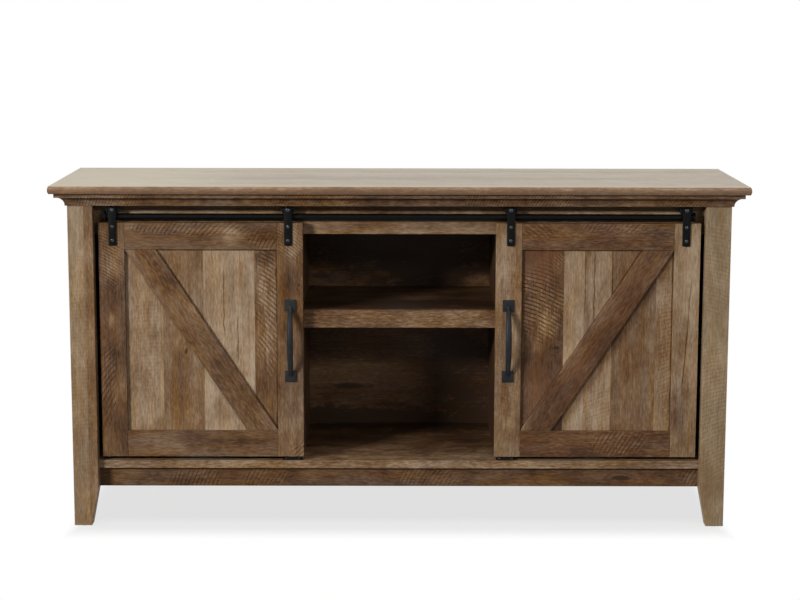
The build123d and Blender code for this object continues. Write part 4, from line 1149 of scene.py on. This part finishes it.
def add_button(shape, seat, radius, rise):
    """A domed head on its seat, with a six-sided socket."""
    socket = SOCKET_SHARE * radius
    head = turn(shape, dome(rise, socket, radius), seat, FRONT)
    mouth = {vert for vert in head if (vert.co - seat).dot(FRONT) > rise - WELD}
    ring = [edge for edge in edges_of(mouth) if all(end in mouth for end in edge.verts)]
    sunk = seat + FRONT * rise * (1 - SOCKET_DEPTH_SHARE)
    facing = Matrix.Translation(sunk) @ Matrix.Rotation(RIGHT_ANGLE, 4, "X")
    made = bmesh.ops.create_circle(shape, cap_ends=True, segments=HEX_SIDES, matrix=facing,
                                   radius=SOCKET_FLOOR_SHARE * socket)
    bmesh.ops.bridge_loops(shape, edges=ring + edges_of(made["verts"]))


def add_shank(shape, seat, head_radius, strap_reach, wheel_reach, end_reach):
    """The bolt behind its head, with its collar and its nut; the reaches run back from the seat."""
    collar_end = wheel_reach + WHEEL_ARRIS
    shank = [(0, head_radius), (0, BOLT_RADIUS), (strap_reach, BOLT_RADIUS),
             (strap_reach, COLLAR_RADIUS), (collar_end, COLLAR_RADIUS), (collar_end, BOLT_RADIUS),
             (end_reach, BOLT_RADIUS), (end_reach, 0)]
    turn(shape, shank, seat, FRONT)
    nut_middle = seat + FRONT * (end_reach + NUT_THICK / 2)
    nut_place = Matrix.Translation(nut_middle) @ Matrix.Rotation(RIGHT_ANGLE, 4, "X")
    nut = bmesh.ops.create_cone(shape, cap_ends=True, segments=HEX_SIDES, radius1=NUT_RADIUS,
                                radius2=NUT_RADIUS, depth=NUT_THICK, matrix=nut_place)
    ease(shape, edges_of(nut["verts"]), NUT_ARRIS)


for side in SIDES:
    strap_low, strap_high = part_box(f"{side}_door_hangers")
    screw_low, screw_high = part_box(f"{side}_door_hanger_screws")
    bolt_low, bolt_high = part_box(f"{side}_door_axle_bolts")
    screw_radius = min(abs(screw_low.x - AXLES[side, place_name].x) for place_name in PLACES)
    bolt_radius = min(abs(bolt_low.x - AXLES[side, place_name].x) for place_name in PLACES)
    front_y = strap_low.y
    screws = bmesh.new()
    bolts = bmesh.new()
    for place_name in PLACES:
        axle = AXLES[side, place_name]
        wheel_front_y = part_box(f"{side}_{place_name}_wheel")[0].y
        for height in (screw_low.z + screw_radius, screw_high.z - screw_radius):
            screw_seat = Vector((axle.x, front_y, height))
            add_button(screws, screw_seat, screw_radius, front_y - screw_low.y)
            turn(screws, [(0, screw_radius), (0, 0)], screw_seat, FRONT)
        seat = Vector((axle.x, front_y, axle.z))
        add_button(bolts, seat, bolt_radius, front_y - bolt_low.y)
        reaches = [front_y - depth for depth in (strap_high.y, wheel_front_y, bolt_high.y)]
        add_shank(bolts, seat, bolt_radius, *reaches)
    door = f"{side}_door"
    add_piece(f"{door}_strap_screws", screws, "screw_black", door, [f"{door}_hanger_screws"])
    add_piece(f"{door}_axles", bolts, "screw_black", door, [f"{door}_axle_bolts"])

# %% [markdown]
# The caps that stop the wheels at the ends of the rail are turned plugs with a rounded flange. The round is
# the same on both sides of the flange, so one run of points is drawn and mirrored.

# %% Rail caps
CAP_PLUG_RADIUS = 0.0049
CAP_ARRIS = 0.0010
CAP_ROUND_SHARE = 0.3

caps = bmesh.new()
cap_low, cap_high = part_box("rail_end_caps")
cap_radius = (cap_high.z - cap_low.z) / 2
cap_middle = (cap_low + cap_high) / 2
cap_ease = CAP_ROUND_SHARE * CAP_ARRIS
cap_round = [(0, cap_radius - CAP_ARRIS), (cap_ease, cap_radius - cap_ease), (CAP_ARRIS, cap_radius)]
for way, flange_x, end_x in ((LEVEL, rail_high.x, cap_high.x), (-LEVEL, rail_low.x, cap_low.x)):
    seat = Vector((flange_x, cap_middle.y, cap_middle.z))
    thick = abs(end_x - flange_x)
    stem = [(-thick, 0), (-thick, CAP_PLUG_RADIUS), (0, CAP_PLUG_RADIUS)]
    far_round = [(thick - reach, radius) for reach, radius in reversed(cap_round)]
    turn(caps, stem + cap_round + far_round + [(thick, 0)], seat, way)
add_piece("rail_cap_plugs", caps, "black_steel", "carcass", ["rail_end_caps"])

# %% [markdown]
# The handles look forged: a grip of eight flats leaves a small bevelled plate as a thin neck, swells
# towards its middle and bows away from the door. An octagon is extruded from station to station along an
# arc, and each station is turned and scaled as it goes. A small dome covers the root of each neck.

# %% Handles
PLATE_THICK = 0.0040
PLATE_BEVEL = 0.0022
GRIP_STATIONS = 28
GRIP_SIDES = 8
HALF_FLAT = pi / GRIP_SIDES
CORNER_SHARE = 1 / cos(HALF_FLAT)
GRIP_ROOT_INSET = 0.0178
GRIP_END = (0.0074, 0.0060)
GRIP_MIDDLE = (0.0134, 0.0085)
GRIP_FULLNESS = 0.5
GRIP_ARRIS = 0.0005
BOSS_RADIUS = 0.0052
BOSS_RISE = 0.0030


def add_grip(shape, middle, half_length, depth):
    """The bowed grip between its two roots; middle is the point that stands furthest from the door."""
    radius = (half_length**2 + depth**2) / (2 * depth)
    reach = Vector((half_length, radius - depth)).angle(Vector((0, 1)))
    centre = middle - FRONT * radius
    ring = None
    for station in range(GRIP_STATIONS + 1):
        along = (1 - cos(pi * station / GRIP_STATIONS)) / 2
        swell = sin(pi * along) ** GRIP_FULLNESS
        width, thick = [end + (full - end) * swell for end, full in zip(GRIP_END, GRIP_MIDDLE)]
        swing = Matrix.Rotation(reach * (1 - 2 * along), 4, "X")
        section = Matrix.Diagonal((width / 2, thick / 2, 1, 1)) @ Matrix.Rotation(HALF_FLAT, 4, "Z")
        here = Matrix.Translation(centre) @ swing @ Matrix.Translation(FRONT * radius) @ section
        if ring is None:
            made = bmesh.ops.create_circle(shape, segments=GRIP_SIDES, radius=CORNER_SHARE, matrix=here)
            ring = edges_of(made["verts"])
        else:
            made = bmesh.ops.extrude_edge_only(shape, edges=ring)
            verts = new_verts(made)
            bmesh.ops.transform(shape, matrix=here @ before.inverted(), verts=verts)
            ring = [edge for edge in edges_of(verts) if all(end in verts for end in edge.verts)]
        before = here
    corners = [edge for edge in shape.edges if edge.is_manifold and edge.calc_face_angle(0) > SHARP_ANGLE]
    ease(shape, corners, GRIP_ARRIS)
    bmesh.ops.holes_fill(shape, edges=[edge for edge in shape.edges if edge.is_boundary])


def add_plate(shape, middle, breadth):
    """A square plate with bevelled front edges."""
    size = Matrix.Diagonal((breadth, PLATE_THICK, breadth, 1))
    made = bmesh.ops.create_cube(shape, size=1, matrix=Matrix.Translation(middle) @ size)
    rim = [edge for edge in edges_of(made["verts"]) if all(end.co.y < middle.y for end in edge.verts)]
    ease(shape, rim, PLATE_BEVEL)


for side in SIDES:
    low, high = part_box(f"{side}_door_handle")
    middle = (low + high) / 2
    breadth = high.x - low.x
    root_y = high.y - PLATE_THICK
    root_reach = (high.z - low.z) / 2 - GRIP_ROOT_INSET
    grip_y = low.y + GRIP_MIDDLE[1] / 2
    shape = bmesh.new()
    add_grip(shape, Vector((middle.x, grip_y, middle.z)), root_reach, root_y - grip_y)
    for up, plate_z in ((-1, low.z + breadth / 2), (1, high.z - breadth / 2)):
        add_plate(shape, Vector((middle.x, high.y - PLATE_THICK / 2, plate_z)), breadth)
        seat = Vector((middle.x, root_y, middle.z + up * root_reach))
        turn(shape, [(0, 0)] + dome(BOSS_RISE, 0, BOSS_RADIUS), seat, FRONT)
    door = f"{side}_door"
    add_piece(f"{door}_pull", shape, "forged_iron", door, [f"{door}_handle"])
